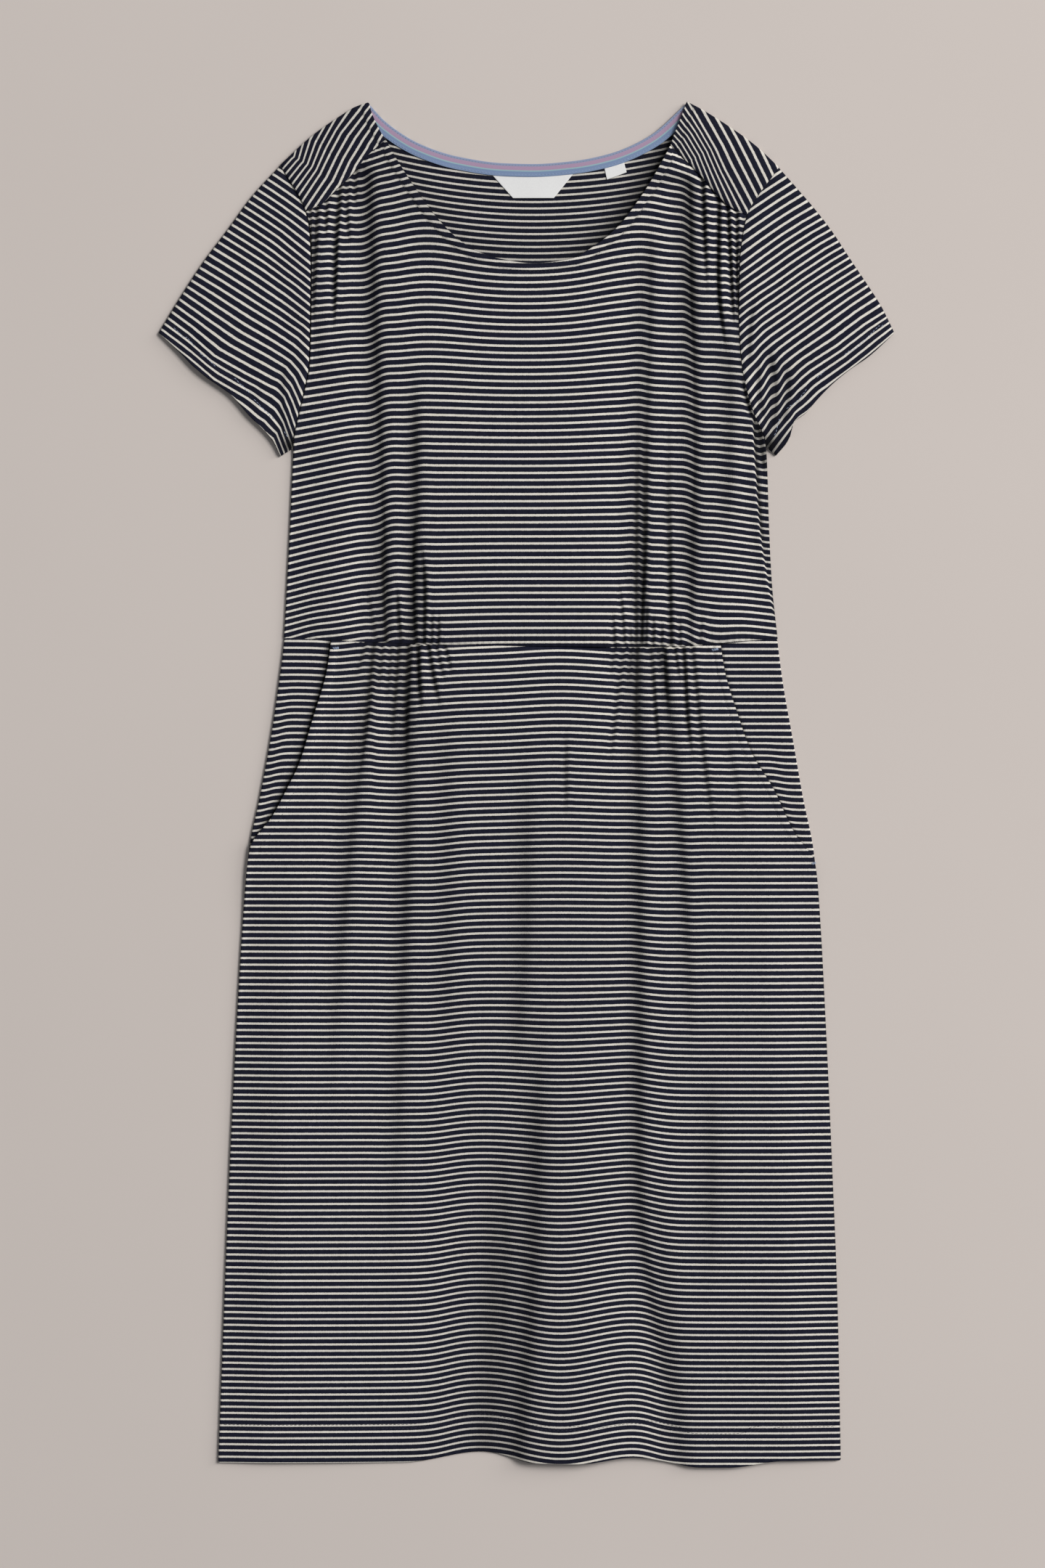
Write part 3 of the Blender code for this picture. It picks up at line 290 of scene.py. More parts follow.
# The front laps over a lower strip along the right side seam: rows of (height y, across x)
LAP = ((127.0, 192.6), (200.0, 181.0), (300.0, 174.6))
LAP_LOW, LAP_HIGH = LAP[0][0], LAP[-1][0]
LEFT_YOKE_CREASE = ((-164.0, 501.2), (-158.4, 494.5), (-151.0, 487.1))

# Labels: both ends of the foot, and where the sides reach the tape (across x)
LABELS = (
    ("neck_label", ((-10.4, 455.3), (21.1, 455.3)), (-28.4, 38.0)),
    ("care_label", ((62.6, 469.7), (77.4, 475.2)), (60.2, 75.0)),
)
# Bands of the tape: place across its width from the neck edge, and colour
TAPE_WIDTH = 9.4
TAPE_BANDS = (
    (0.00, (0.26, 0.31, 0.46)), (0.15, (0.26, 0.31, 0.46)), (0.20, (0.40, 0.28, 0.41)),
    (0.48, (0.40, 0.27, 0.40)), (0.52, (0.30, 0.45, 0.49)), (0.58, (0.30, 0.47, 0.51)),
    (0.63, (0.18, 0.26, 0.43)), (1.00, (0.20, 0.28, 0.45)),
)

# Heights of the layers above the surface. The back lies on it.
BACK_TOP = 1.2
TRIM_TOP = 2.25
SIDE_TOP = 2.55
HEM_TOP = 2.9
ARMHOLE = 4.4
POCKET_EDGE = 4.5
SEAM = 6.4
MIDDLE = 8.0
# Radius of a side that is folded, and of an edge that goes down into a seam
SIDE_RADIUS = 1.12
SEAM_RADIUS = 0.5
# Edges that are turned in as far as depth: how much they rise, over how soft a step, and
# how deep and wide the groove of their stitches is
Turn = namedtuple("Turn", "depth rise soft groove width")
NECK_TURN = Turn(6.6, 0.35, 1.0, 0.30, 0.55)
YOKE_TURN = Turn(6.6, 0.3, 1.0, 0.28, 0.55)
CUFF_TURN = Turn(11.5, 0.2, 1.2, 0.22, 0.8)
HEM_TURN = Turn(28.0, 0.15, 1.5, 0.22, 0.9)
POCKET_TURN = Turn(6.2, 0.3, 1.0, 0.25, 0.7)
# How far the back keeps in from the outline
BACK_INSET = 1.4
# How fast the cloth rises from a side, and the pitches of the gathers along the seams
CROWN_REACH = 2.2
YOKE_GATHER, BODICE_GATHER, SKIRT_GATHER = 4.2, 5.2, 4.8
# A side that lies loose on the back keeps in by more, and rolls round by more. Heights
# where the sides begin to be loose, on the bodice and on the left and right of the skirt.
LOOSE_INSET, LOOSE_RADIUS = 0.6, 0.62
BODICE_LOOSE, SKIRT_LOOSE_LEFT, SKIRT_LOOSE_RIGHT = 264, -60, -70
# Span of the height y over which the pocket mouths gape
POCKET_LOW, POCKET_HIGH = -62, 110


# Curves, ramps and grids


def smooth(rows, at):
    """Read the curve through the (station, value) rows, without overshoot between them."""
    station, value = np.array(rows, dtype=float).T
    step = np.diff(station)
    rise = np.diff(value) / step
    slope = np.zeros(len(station))
    slope[0], slope[-1] = rise[0], rise[-1]
    total = rise[:-1] + rise[1:]
    same_way = rise[:-1] * rise[1:] > 0
    slope[1:-1] = np.where(same_way, 2 * rise[:-1] * rise[1:] / np.where(same_way, total, 1), 0)
    at = np.clip(np.asarray(at, dtype=float), station[0], station[-1])
    i = np.clip(np.searchsorted(station, at, side="right") - 1, 0, len(step) - 1)
    t = (at - station[i]) / step[i]
    start = value[i] * (2 * t**3 - 3 * t**2 + 1) + slope[i] * step[i] * (t**3 - 2 * t**2 + t)
    end = value[i + 1] * (3 * t**2 - 2 * t**3) + slope[i + 1] * step[i] * (t**3 - t**2)
    return start + end


def straight(rows, at):
    """Read the polyline through the (station, value) rows, and go on straight past its ends."""
    station, value = np.array(rows, dtype=float).T
    first = (value[1] - value[0]) / (station[1] - station[0])
    last = (value[-1] - value[-2]) / (station[-1] - station[-2])
    below = np.minimum(at - station[0], 0) * first
    beyond = np.maximum(at - station[-1], 0) * last
    return np.interp(at, station, value) + below + beyond


def lengths(line):
    """Length along a polyline at each of its points."""
    return np.concatenate([[0], np.cumsum(np.hypot(*np.diff(line, axis=0).T))])


def spaced(rows, count):
    """Points evenly spaced along the smooth curve through (x, y) rows."""
    rows = np.array(rows, dtype=float)
    run = lengths(rows)
    at = np.linspace(0, run[-1], count)
    return np.column_stack([smooth(np.column_stack([run, side]), at) for side in rows.T])


def unit(plan):
    """Vectors of length 1 along the given (x, y) vectors."""
    return plan / np.maximum(np.hypot(plan[:, 0], plan[:, 1]), TINY)[:, None]


def right_of(line):
    """Unit vectors to the right of a polyline's run, one at each of its points."""
    along = unit(np.gradient(line, axis=0))
    return np.column_stack([along[:, 1], -along[:, 0]])


def offset_line(rows, distance, count=161):
    """Line beside the curve through rows, to the right of its run for a positive distance."""
    line = spaced(rows, count)
    return line + right_of(line) * distance


def near(x, y, line):
    """Distance of the points (x, y) from a polyline, and the length along it there."""
    best = np.full(x.shape, np.inf)
    along = np.zeros(x.shape)
    run = 0.0
    for (ax, ay), (bx, by) in zip(line[:-1], line[1:]):
        dx, dy = bx - ax, by - ay
        length = np.hypot(dx, dy)
        t = np.clip(((x - ax) * dx + (y - ay) * dy) / length**2, 0, 1)
        off = np.hypot(x - ax - t * dx, y - ay - t * dy)
        closer = off < best
        best = np.where(closer, off, best)
        along = np.where(closer, run + t * length, along)
        run += length
    return best, along


def ramp(value, length):
    """0 at an edge, rising smoothly to 1 at the given distance from it."""
    t = np.clip(value / length, 0, 1)
    return t * t * (3 - 2 * t)


def bell(value, width):
    """1 at zero, falling to 0 on both sides within a few widths."""
    return np.exp(-0.5 * (value / width) ** 2)


def spot(value, width):
    """1 at zero, falling to 0 on both sides within two widths."""
    return np.exp(-(value / width) ** 2)


def step_up(value, width):
    """0 well below zero and 1 well above it, changing over about four widths."""
    return 0.5 + 0.5 * np.tanh(value / (2 * width))


def past(distance):
    """Distance past a line, rising softly from 0 before it."""
    return 8 * np.log1p(np.exp(np.clip(distance / 8, -30, 30)))


def stations(length, pitch, fine_start=0.0, fine_end=0.0):
    """Shares from 0 to 1, closer together at an end that has a fine spacing."""
    here = [0.0]
    while here[-1] < length:
        step = pitch
        if fine_start:
            step = min(step, fine_start + 0.22 * here[-1])
        if fine_end:
            step = min(step, fine_end + 0.22 * max(length - here[-1], 0))
        here.append(here[-1] + step)
    return np.array(here) / here[-1]


def top_edge(left, neck, right, x):
    """Height of a bodice's upper edge, which runs over one side, the neck and the other side."""
    sides = np.where(x < neck[0][0], smooth(left, x), smooth(right, x))
    return np.where((x < neck[0][0]) | (x > neck[-1][0]), sides, smooth(neck, x))


def panel_grid(low, high, left, right, rows, columns):
    """Grid over a panel between two cross edges y(x) and two side edges x(y)."""

    def place_row(y):
        a, b = float(left(y[0])), float(right(y[-1]))
        return a + (b - a) * columns

    ends = []
    for edge in (low, high):
        x = np.linspace(-200, 200, len(columns))
        for _ in range(16):
            x = 0.5 * x + 0.5 * place_row(edge(x))
        ends.append((x, edge(x)))
    (_, low_y), (top_x, high_y) = ends
    y = low_y + (high_y - low_y) * rows[:, None]
    x = np.array([place_row(row) for row in y])
    x[-1] = top_x
    return x, y


def patch(low, high, left, right):
    """Grid of points between four edge curves that meet at their ends."""
    across = np.linspace(0, 1, len(low))[None, :, None]
    up = np.linspace(0, 1, len(left))[:, None, None]
    between_rows = (1 - up) * low[None] + up * high[None]
    between_sides = (1 - across) * left[:, None] + across * right[:, None]
    corners = (
        (1 - up) * (1 - across) * low[0] + (1 - up) * across * low[-1]
        + up * (1 - across) * high[0] + up * across * high[-1]
    )
    points = between_rows + between_sides - corners
    return points[..., 0], points[..., 1]


def draw_in(x, y, reach, most=np.inf):
    """Move a grid's first and last rows towards their neighbours.

    They move by reach, or by the share most of the way if that is less.
    """
    for edge, beside in ((0, 1), (-1, -2)):
        dx, dy = x[beside] - x[edge], y[beside] - y[edge]
        size = np.maximum(np.hypot(dx, dy), TINY)
        move = np.minimum(reach, most * size) / size
        x[edge] += dx * move
        y[edge] += dy * move


def count_stripes(x, y, drawn, slant):
    """Stripe number at the points (x, y), read between a few drawn stripes.

    It is worked out in axes turned by the stripes' slant in degrees.
    """
    c, s = np.cos(np.radians(slant)), np.sin(np.radians(slant))
    x, y = x * c + y * s, y * c - x * s
    numbers = [float(number) for number, _ in drawn]
    turned = [[(px * c + py * s, py * c - px * s) for px, py in rows] for _, rows in drawn]
    levels = [straight(sorted(rows), x) for rows in turned]
    count = np.zeros_like(x)
    done = np.zeros(x.shape, dtype=bool)
    for k in range(len(drawn) - 1):
        share = (y - levels[k]) / (levels[k + 1] - levels[k])
        here = ((share < 1) | (k == len(drawn) - 2)) & ~done
        count[here] = (numbers[k] + share * (numbers[k + 1] - numbers[k]))[here]
        done |= here
    return count


# Meshes


def add_object(name, data):
    item = bpy.data.objects.new(name, data)
    bpy.context.scene.collection.objects.link(item)
    return item


def mesh_object(name, points, faces, material, shade=None):
    """Object from quads and points, whose columns are x, y, z and, for cloth, u and v.

    They are in millimetres. shade is painted shade, one value for each point.
    """
    points = np.asarray(points, dtype=np.float32) * MM
    faces = np.asarray(faces, dtype=np.int32)
    mesh = bpy.data.meshes.new(name)
    mesh.vertices.add(len(points))
    mesh.vertices.foreach_set("co", points[:, :3].ravel())
    mesh.loops.add(faces.size)
    mesh.loops.foreach_set("vertex_index", faces.ravel())
    mesh.polygons.add(len(faces))
    starts = np.arange(len(faces), dtype=np.int32) * faces.shape[1]
    mesh.polygons.foreach_set("loop_start", starts)
    mesh.update(calc_edges=True)
    if points.shape[1] == 5:
        layer = mesh.uv_layers.new(name="Cloth")
        layer.data.foreach_set("uv", points[faces.ravel(), 3:].ravel())
    if shade is not None:
        attribute = mesh.attributes.new("Crease", "FLOAT", "POINT")
        attribute.data.foreach_set("value", np.asarray(shade, dtype=np.float32).ravel())
    mesh.shade_smooth()
    mesh.materials.append(material)
    return add_object(name, mesh)


def border_of(rows, columns):
    """Indexes round a grid, anticlockwise as seen from above."""
    index = np.arange(rows * columns).reshape(rows, columns)
    return np.concatenate([index[0], index[1:, -1], index[-1, -2::-1], index[-2:0:-1, 0]])


def border_values(x, low, right, high, left):
    """One value for each border point of the grid x, given one or a row of them for each side."""
    rows, columns = np.ones(x.shape[0]), np.ones(x.shape[1])
    return np.concatenate([columns * low, (rows * right)[1:], (columns * high)[-2::-1],
                           (rows * left)[-2:0:-1]])


def grid_faces(rows, columns):
    index = np.arange(rows * columns).reshape(rows, columns)
    return np.stack([index[:-1, :-1], index[:-1, 1:], index[1:, 1:], index[1:, :-1]],
                    axis=-1).reshape(-1, 4)


def band_faces(here, there):
    """Quads between two closed rings of point indexes."""
    return np.stack([here, there, np.roll(there, -1), np.roll(here, -1)], axis=-1)


QUARTER = np.pi / 2
ARC = np.radians((25, 55, 90, 125, 155, 180))


def shell(name, x, y, z, u, v, material, radius, turned, tail=3.0, drop=1.3, under=None,
          shade=None, rim=0.0):
    """Cloth over a grid, with its border rolled under or run down into a seam.

    radius and turned have one value for each border point, or one for all: a turned
    border rolls right under itself by the length tail, and any other goes down into a seam
    by drop. With under, the turned border closes against an underside whose stripes are
    under's (u, v). shade is painted shade at the grid's points, and rim is how much more
    painted shade the rolled border has than the cloth beside it; the underside has none.
    """
    rows, columns = x.shape
    border = border_of(rows, columns)
    points = np.stack([x, y, z, u, v], axis=-1).reshape(-1, 5)
    edge = points[border]
    along = np.roll(edge[:, :2], -1, axis=0) - np.roll(edge[:, :2], 1, axis=0)
    out = unit(np.column_stack([along[:, 1], -along[:, 0]]))

    # The cloth's own grain goes on round the border
    r_in, c_in = np.divmod(border, columns)
    inner = points[np.clip(r_in, 1, rows - 2) * columns + np.clip(c_in, 1, columns - 2)]
    reach = np.maximum(np.linalg.norm(edge[:, :3] - inner[:, :3], axis=1), 1e-3)[:, None]
    grain = (edge[:, 3:] - inner[:, 3:]) / reach

    radius, turned = ((np.ones(len(border)) * value)[:, None] for value in (radius, turned))
    rings = []
    for angle in ARC:
        rolled = np.sin(angle), 1 - np.cos(angle)
        fallen = rolled if angle < QUARTER else (1.0, 1 + (angle / QUARTER - 1) * drop / radius)
        ring = edge.copy()
        ring[:, :2] += out * (turned * rolled[0] + (1 - turned) * fallen[0]) * radius
        ring[:, 2:3] -= (turned * rolled[1] + (1 - turned) * fallen[1]) * radius
        ring[:, 3:] += grain * radius * angle
        rings.append(ring)
    if under is None:
        ring = rings[-1].copy()
        ring[:, :2] -= out * turned * tail
        ring[:, 3:] += grain * tail * turned
        rings.append(ring)

    count, loop = rows * columns, len(border)
    parts = [points] + rings
    faces = [grid_faces(rows, columns)]
    here = border
    for k in range(len(rings)):
        there = count + k * loop + np.arange(loop)
        faces.append(band_faces(here, there))
        here = there
    if under is not None:
        # Own points, at the last ring's place, so that the underside has stripes of its own
        low = points.copy()
        low[:, 2] = rings[-1][:, 2].min()
        low[border, :3] = rings[-1][:, :3]
        low[:, 3:] = np.stack(under, axis=-1).reshape(-1, 2)
        start = count + len(rings) * loop
        parts.append(low)
        faces += [grid_faces(rows, columns)[:, ::-1] + start, band_faces(here, start + border)]
    # Painted shade: the border's rings take the shade beside them, made darker by rim
    if shade is not None:
        shades = [shade.ravel()] + [darker(shade.ravel()[border], rim)] * len(rings)
        shade = np.concatenate(shades + ([] if under is None else [np.zeros(count)]))
    return mesh_object(name, np.concatenate(parts), np.concatenate(faces), material, shade)


STITCH_RINGS, STITCH_SIDES = 5, 6
STITCH_SINK, STITCH_RISE = 0.12, 0.22


def stitches(name, line, heights, material, pitch, length, thick, skip=None):
    """Row of thread stitches along a polyline, lying on the given heights."""
    run = lengths(line)
    starts = np.arange(pitch * 0.4, run[-1] - length, pitch)
    if skip is not None:
        starts = starts[~skip(starts)]
    share = np.linspace(0, 1, STITCH_RINGS)
    at = starts[:, None] + share * length
    x, y, z = (np.interp(at, run, values)[..., None] for values in (*line.T, heights))
    dx, dy = (np.interp(at + 0.2, run, values)[..., None] - here
              for values, here in zip(line.T, (x, y)))
    size = np.maximum(np.hypot(dx, dy), 1e-9)
    lift = np.sin(np.pi * share)[:, None]
    wide = thick / 2 * (0.45 + 0.55 * lift)
    turn = np.linspace(0, 2 * np.pi, STITCH_SIDES, endpoint=False)
    across = np.cos(turn) * wide
    z = z - STITCH_SINK + STITCH_RISE * lift + np.sin(turn) * wide
    points = np.stack([x - dy / size * across, y + dx / size * across, z], axis=-1)

    index = np.arange(STITCH_RINGS * STITCH_SIDES).reshape(STITCH_RINGS, STITCH_SIDES)
    after = np.roll(index, -1, axis=1)
    sides = np.stack([index[:-1], index[1:], after[1:], after[:-1]], axis=-1).reshape(-1, 4)
    first, last = index[0], index[-1]
    caps = [first[[0, 1, 2, 3]], first[[0, 3, 4, 5]], last[[3, 2, 1, 0]], last[[5, 4, 3, 0]]]
    one = np.concatenate([sides, caps])
    faces = one + (index.size * np.arange(len(starts)))[:, None, None]
    item = mesh_object(name, points.reshape(-1, 3), faces.reshape(-1, 4), material)
    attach(item, "root")


# Materials


def new_material(name):
    material = bpy.data.materials.new(name)
    material.use_nodes = True
    tree = material.node_tree
    return material, tree, tree.nodes["Principled BSDF"]


def put(tree, socket, value):
    """Link an output to an input socket, or set the input to a plain value."""
    if isinstance(value, bpy.types.NodeSocket):
        tree.links.new(value, socket)
    else:
        socket.default_value = value


def node(tree, kind, **values):
    """Add a node. Values set its inputs by name or number, or its own settings."""
    item = tree.nodes.new(kind)
    for key, value in values.items():
        if key.startswith("in_"):
            key = int(key[3:]) if key[3:].isdigit() else key[3:].replace("_", " ")
            put(tree, item.inputs[key], value)
        else:
            setattr(item, key, value)
    return item


def math(tree, operation, a, b=0.0, c=0.0, clamp=False):
    return node(tree, "ShaderNodeMath", operation=operation, use_clamp=clamp,
                in_0=a, in_1=b, in_2=c).outputs[0]


def wave(tree, value, length):
    """Sine of a place along the cloth, with the given wavelength in millimetres."""
    return math(tree, "SINE", math(tree, "MULTIPLY", value, 2 * np.pi / (length * MM)))


def mix_colour(tree, share, a, b, blend="MIX"):
    a, b = (value if isinstance(value, bpy.types.NodeSocket) else (*value, 1) for value in (a, b))
    return node(tree, "ShaderNodeMix", data_type="RGBA", blend_type=blend,
                in_0=share, in_6=a, in_7=b).outputs[2]


def noise(tree, place, scale, detail):
    return node(tree, "ShaderNodeTexNoise", in_Vector=place, in_Scale=scale,
                in_Detail=detail).outputs[0]


def cloth_place(tree):
    """The Cloth map, and its U and V."""
    uv = node(tree, "ShaderNodeUVMap", uv_map="Cloth").outputs[0]
    parts = node(tree, "ShaderNodeSeparateXYZ", in_0=uv)
    return uv, parts.outputs[0], parts.outputs[1]


def finish_cloth(tree, shader, colour, bumps, strength, depth, **values):
    """Give a shader its colour and its bump, and set its other inputs by name."""
    bump = node(tree, "ShaderNodeBump", in_Height=bumps, in_Strength=strength,
                in_Distance=depth)
    put(tree, shader.inputs["Base Color"], colour)
    put(tree, shader.inputs["Normal"], bump.outputs[0])
    for key, value in values.items():
        shader.inputs[key.replace("_", " ")].default_value = value


NAVY, NAVY_WORN = (0.0050, 0.0058, 0.0160), (0.0130, 0.0140, 0.0290)
CREAM, CREAM_SHADE = (0.800, 0.765, 0.700), (0.680, 0.645, 0.580)
CREAM_SHARE = 0.312
STRIPE_BLUR = 0.03
WALE, COURSE = 0.85, 0.65


def jersey_material(name, dimmed=1.0):
    """Striped single jersey: yarn-dyed stripes, wales and courses, and a soft nap. dimmed darkens
    its colours all over, and the shade attribute mixes in painted shade towards black.
    """
    material, tree, shader = new_material(name)
    uv, u, v = cloth_place(tree)
    wander = math(tree, "MULTIPLY_ADD", noise(tree, uv, 900.0, 2.0), 0.10, -0.05)
    count = math(tree, "ADD", math(tree, "MULTIPLY", v, 1 / (STRIPE * MM)), wander)
    cream = node(tree, "ShaderNodeMapRange", in_0=math(tree, "PINGPONG", count, 0.5),
                 in_1=CREAM_SHARE / 2 + STRIPE_BLUR, in_2=CREAM_SHARE / 2 - STRIPE_BLUR,
                 interpolation_type="SMOOTHSTEP").outputs[0]
    fleck = noise(tree, uv, 1700.0, 3.0)
    worn = math(tree, "MULTIPLY", noise(tree, uv, 260.0, 4.0), fleck)
    worn = node(tree, "ShaderNodeMapRange", in_0=worn, in_1=0.15, in_2=0.42).outputs[0]
    dark, pale = (
        mix_colour(tree, worn, [c * dimmed for c in low], [c * dimmed for c in high])
        for low, high in ((NAVY, NAVY_WORN), (CREAM_SHADE, CREAM))
    )
    # Painted shade: the colour goes towards black as the shade attribute rises
    crease = node(tree, "ShaderNodeAttribute", attribute_name="Crease").outputs["Fac"]
    colour = mix_colour(tree, crease, mix_colour(tree, cream, dark, pale), (0, 0, 0))

    # Wales run across the stripes and courses along them
    knit = math(tree, "MULTIPLY", wave(tree, v, COURSE), 0.4)
    knit = math(tree, "MULTIPLY_ADD", wave(tree, u, WALE), 0.6, knit)
    knit = math(tree, "ADD", knit, math(tree, "MULTIPLY", fleck, 1.5))
    finish_cloth(tree, shader, colour, knit, strength=0.35, depth=0.00012, Roughness=0.88,
                 Specular_IOR_Level=0.15, Sheen_Weight=0.04, Sheen_Roughness=0.45,
                 Sheen_Tint=(0.80, 0.84, 1.0, 1))
    return material


def tape_material():
    """Woven tape: light blue edges, a pink band, a thin turquoise line and a blue band."""
    material, tree, shader = new_material("woven_tape")
    uv, u, v = cloth_place(tree)
    place = math(tree, "DIVIDE", v, TAPE_WIDTH * MM, clamp=True)
    colours = node(tree, "ShaderNodeValToRGB", in_0=place)
    bands = colours.color_ramp.elements
    for k, (place_at, colour) in enumerate(TAPE_BANDS):
        band = bands[k] if k < 2 else bands.new(place_at)
        band.position, band.color = place_at, (*colour, 1)
    rib = math(tree, "MULTIPLY", wave(tree, v, 0.55), 0.30)
    weave = math(tree, "MULTIPLY_ADD", wave(tree, math(tree, "ADD", u, v), 1.0), 0.35, rib)
    yarn = math(tree, "MULTIPLY_ADD", noise(tree, uv, 1500.0, 3.0), 0.30, 0.83)
    shade = math(tree, "MULTIPLY_ADD", weave, 0.16, yarn)
    grey = node(tree, "ShaderNodeCombineXYZ", in_0=shade, in_1=shade, in_2=shade).outputs[0]
    finish_cloth(tree, shader, mix_colour(tree, 1.0, colours.outputs[0], grey, "MULTIPLY"),
                 weave, strength=0.5, depth=0.00015, Roughness=0.7, Sheen_Weight=0.2)
    return material


def plain_material(name, colour, shade, roughness, scale):
    """Plain cloth or thread with a fine weave and slight variation of its colour."""
    material, tree, shader = new_material(name)
    place = node(tree, "ShaderNodeTexCoord").outputs["Object"]
    weave = noise(tree, place, scale, 4.0)
    finish_cloth(tree, shader, mix_colour(tree, weave, shade, colour), weave,
                 strength=0.4, depth=0.0001, Roughness=roughness, Sheen_Weight=0.1)
    return material


JERSEY = jersey_material("striped_jersey")
# The back's jersey is the same jersey made darker all over: painted shade for lying under the
# front
JERSEY_BACK = jersey_material("striped_jersey_inside", 0.86)
TAPE = tape_material()
LABEL = plain_material("label_satin", (0.83, 0.83, 0.82), (0.74, 0.74, 0.75), 0.45, 900.0)
NAVY_THREAD = plain_material("navy_thread", (0.020, 0.022, 0.045), (0.010, 0.011, 0.028),
                             0.6, 2500.0)
BLUE_THREAD = plain_material("pale_blue_thread", (0.42, 0.50, 0.66), (0.26, 0.33, 0.50),
                             0.6, 2500.0)


# Heights, stripes and shade of the cloth


def darker(shade, share):
    """A painted shade, 0 for plain cloth and 1 for black, with a share of what is left taken
    away.
    """
    return 1 - (1 - shade) * (1 - share)


def relief(x, y, folds):
    """Height that the folds add, the stripes' steps across them and the shade painted along them.
    """
    height, step, light = np.zeros_like(x), np.zeros_like(x), np.ones_like(x)
    for fold in folds:
        line = ((fold.low_y, fold.low_x), (fold.mid_y, fold.mid_x), (fold.top_y, fold.top_x))
        off = (x - smooth(line, y)) / fold.width
        share = np.ones_like(y)
        if fold.fade_top:
            share *= ramp(fold.top_y - y, fold.fade_top)
        if fold.fade_low:
            share *= ramp(y - fold.low_y, fold.fade_low)
        drop = step_up(-off, 0.28) * np.exp(np.minimum(off, 0) / LEE)
        sharp = np.exp(-(1.35 * off + 0.5) ** 2)
        height -= fold.depth * share * ((1 - fold.crease) * drop + fold.crease * sharp)
        step -= fold.shift * share * off * np.exp(0.5 - off**2 / 2)
        # Painted shade along the fold's line, deeper for a deeper and sharper fold
        dark = min(fold.depth * (WIDE_SHADE + CREASE_SHADE * fold.crease), MOST_SHADE)
        light *= 1 - dark * share * np.exp(-(off + 0.25) ** 2 / 1.1)
    return height, step, 1 - light


def crown(from_side):
    """Quick rise of the cloth from its rolled side, from 0 to 1."""
    return 1 - np.exp(-np.maximum(from_side, 0) / CROWN_REACH)


def side_lift(from_side, edge_height, middle, reach=46.0):
    """Height of a front panel at some distance from its side."""
    quick = edge_height + 0.55 * crown(from_side)
    return quick + (middle - quick) * ramp(from_side, reach)


def kept_above(height, floor):
    """Height held softly above a floor."""
    return floor + 0.35 * np.logaddexp(0, (height - floor) / 0.35)


def pucker(distance, along, pitch, reach):
    """Small gathers that stand along a seam and die out away from it."""
    gathers = np.cos(2 * np.pi * along / pitch + 1.1 * np.sin(along / 6.7))
    return np.exp(-np.maximum(distance, 0) / reach) * gathers


def turned_edge(distance, turn, past_groove=0.0):
    """Height that an edge gains where it is turned in, with the groove of its stitches."""
    step = turn.rise * ramp(turn.depth + past_groove - distance, turn.soft)
    return step - turn.groove * bell(distance - turn.depth, turn.width)


def lap_share(x, y):
    """1 on the strip right of the lap and 0 left of it."""
    ends = ramp(LAP_HIGH - y, 20) * ramp(y - LAP_LOW, 10)
    return step_up(x - smooth(LAP, y), 0.28) * ends


def bodice_height(x, y):
    """Height of the front bodice's outer face, the stripes' steps and the shade painted on it."""
    from_side = np.minimum(x - smooth(LEFT_EDGE, y), smooth(RIGHT_EDGE, y) - x)
    from_waist = y - smooth(WAIST, x)
    yokes = [near(x, y, spaced(seam, 31)) for seam in (LEFT_YOKE_SEAM, RIGHT_YOKE_SEAM)]
    from_yoke = np.minimum(yokes[0][0], yokes[1][0])
    edge = SIDE_TOP + (ARMHOLE + 0.5 - SIDE_TOP) * ramp(y - 240, 50)
    ridge = SEAM + (MIDDLE - SEAM) * ramp(from_waist, 12) * ramp(from_yoke, 9)
    folds, step, shade = relief(x, y, BODICE_FOLDS)
    height = side_lift(from_side, edge, ridge, 46 - 32 * ramp(y - 290, 50))
    height += folds * (0.25 + 0.75 * ramp(from_side, 2.5))
    height += 0.18 * pucker(from_waist, x, BODICE_GATHER, 6.0) - bell(from_waist, 1.0)

    # The cloth swells up to the lap, and the strip past it lies lower, with the lap's shadow
    # painted on it
    lapped = lap_share(x, y)
    past_lap = x - smooth(LAP, y)
    swell = spot(past_lap, 5) * ramp(LAP_HIGH - y, 20) * (1 - lapped)
    height += 1.3 * (swell - lapped) * ramp(y - LAP_LOW, 40)
    shade = darker(shade, 0.95 * lapped * spot(past_lap, 3.0) * (0.3 + 0.7 * ramp(y - 165, 45)))

    # Neck band, and painted shade beside the neck on the left, along the armhole seams and in the
    # neck band's stitch groove
    neck, _ = near(x, y, spaced(FRONT_NECK, 61))
    at_neck = (x > FRONT_NECK[0][0] - 1) & (x < FRONT_NECK[-1][0] + 1)
    height -= 0.6 * np.exp(-neck / 16) * ramp(x + 20, 60)
    height += at_neck * turned_edge(neck, NECK_TURN)
    step += at_neck * 0.7 * ramp(NECK_TURN.depth - neck, 0.8)
    shade = darker(shade, 0.17 * spot(neck, 24) * (1 - ramp(x + 60, 60)))
    shade = darker(shade, 0.40 * spot(from_side, 1.7) * ramp(y - 246, 10))
    shade = darker(shade, at_neck * 0.3 * bell(neck - NECK_TURN.depth, 0.7))

    for away, along in yokes:
        height += 0.34 * pucker(away, along, YOKE_GATHER, 5.5) - 0.5 * bell(away, 1.0)
        step += 0.25 * pucker(away, along + 1.0, YOKE_GATHER, 4.0)
    return kept_above(height, 2.0 + 0.4 * ramp(3 - from_side, 2)), step, shade


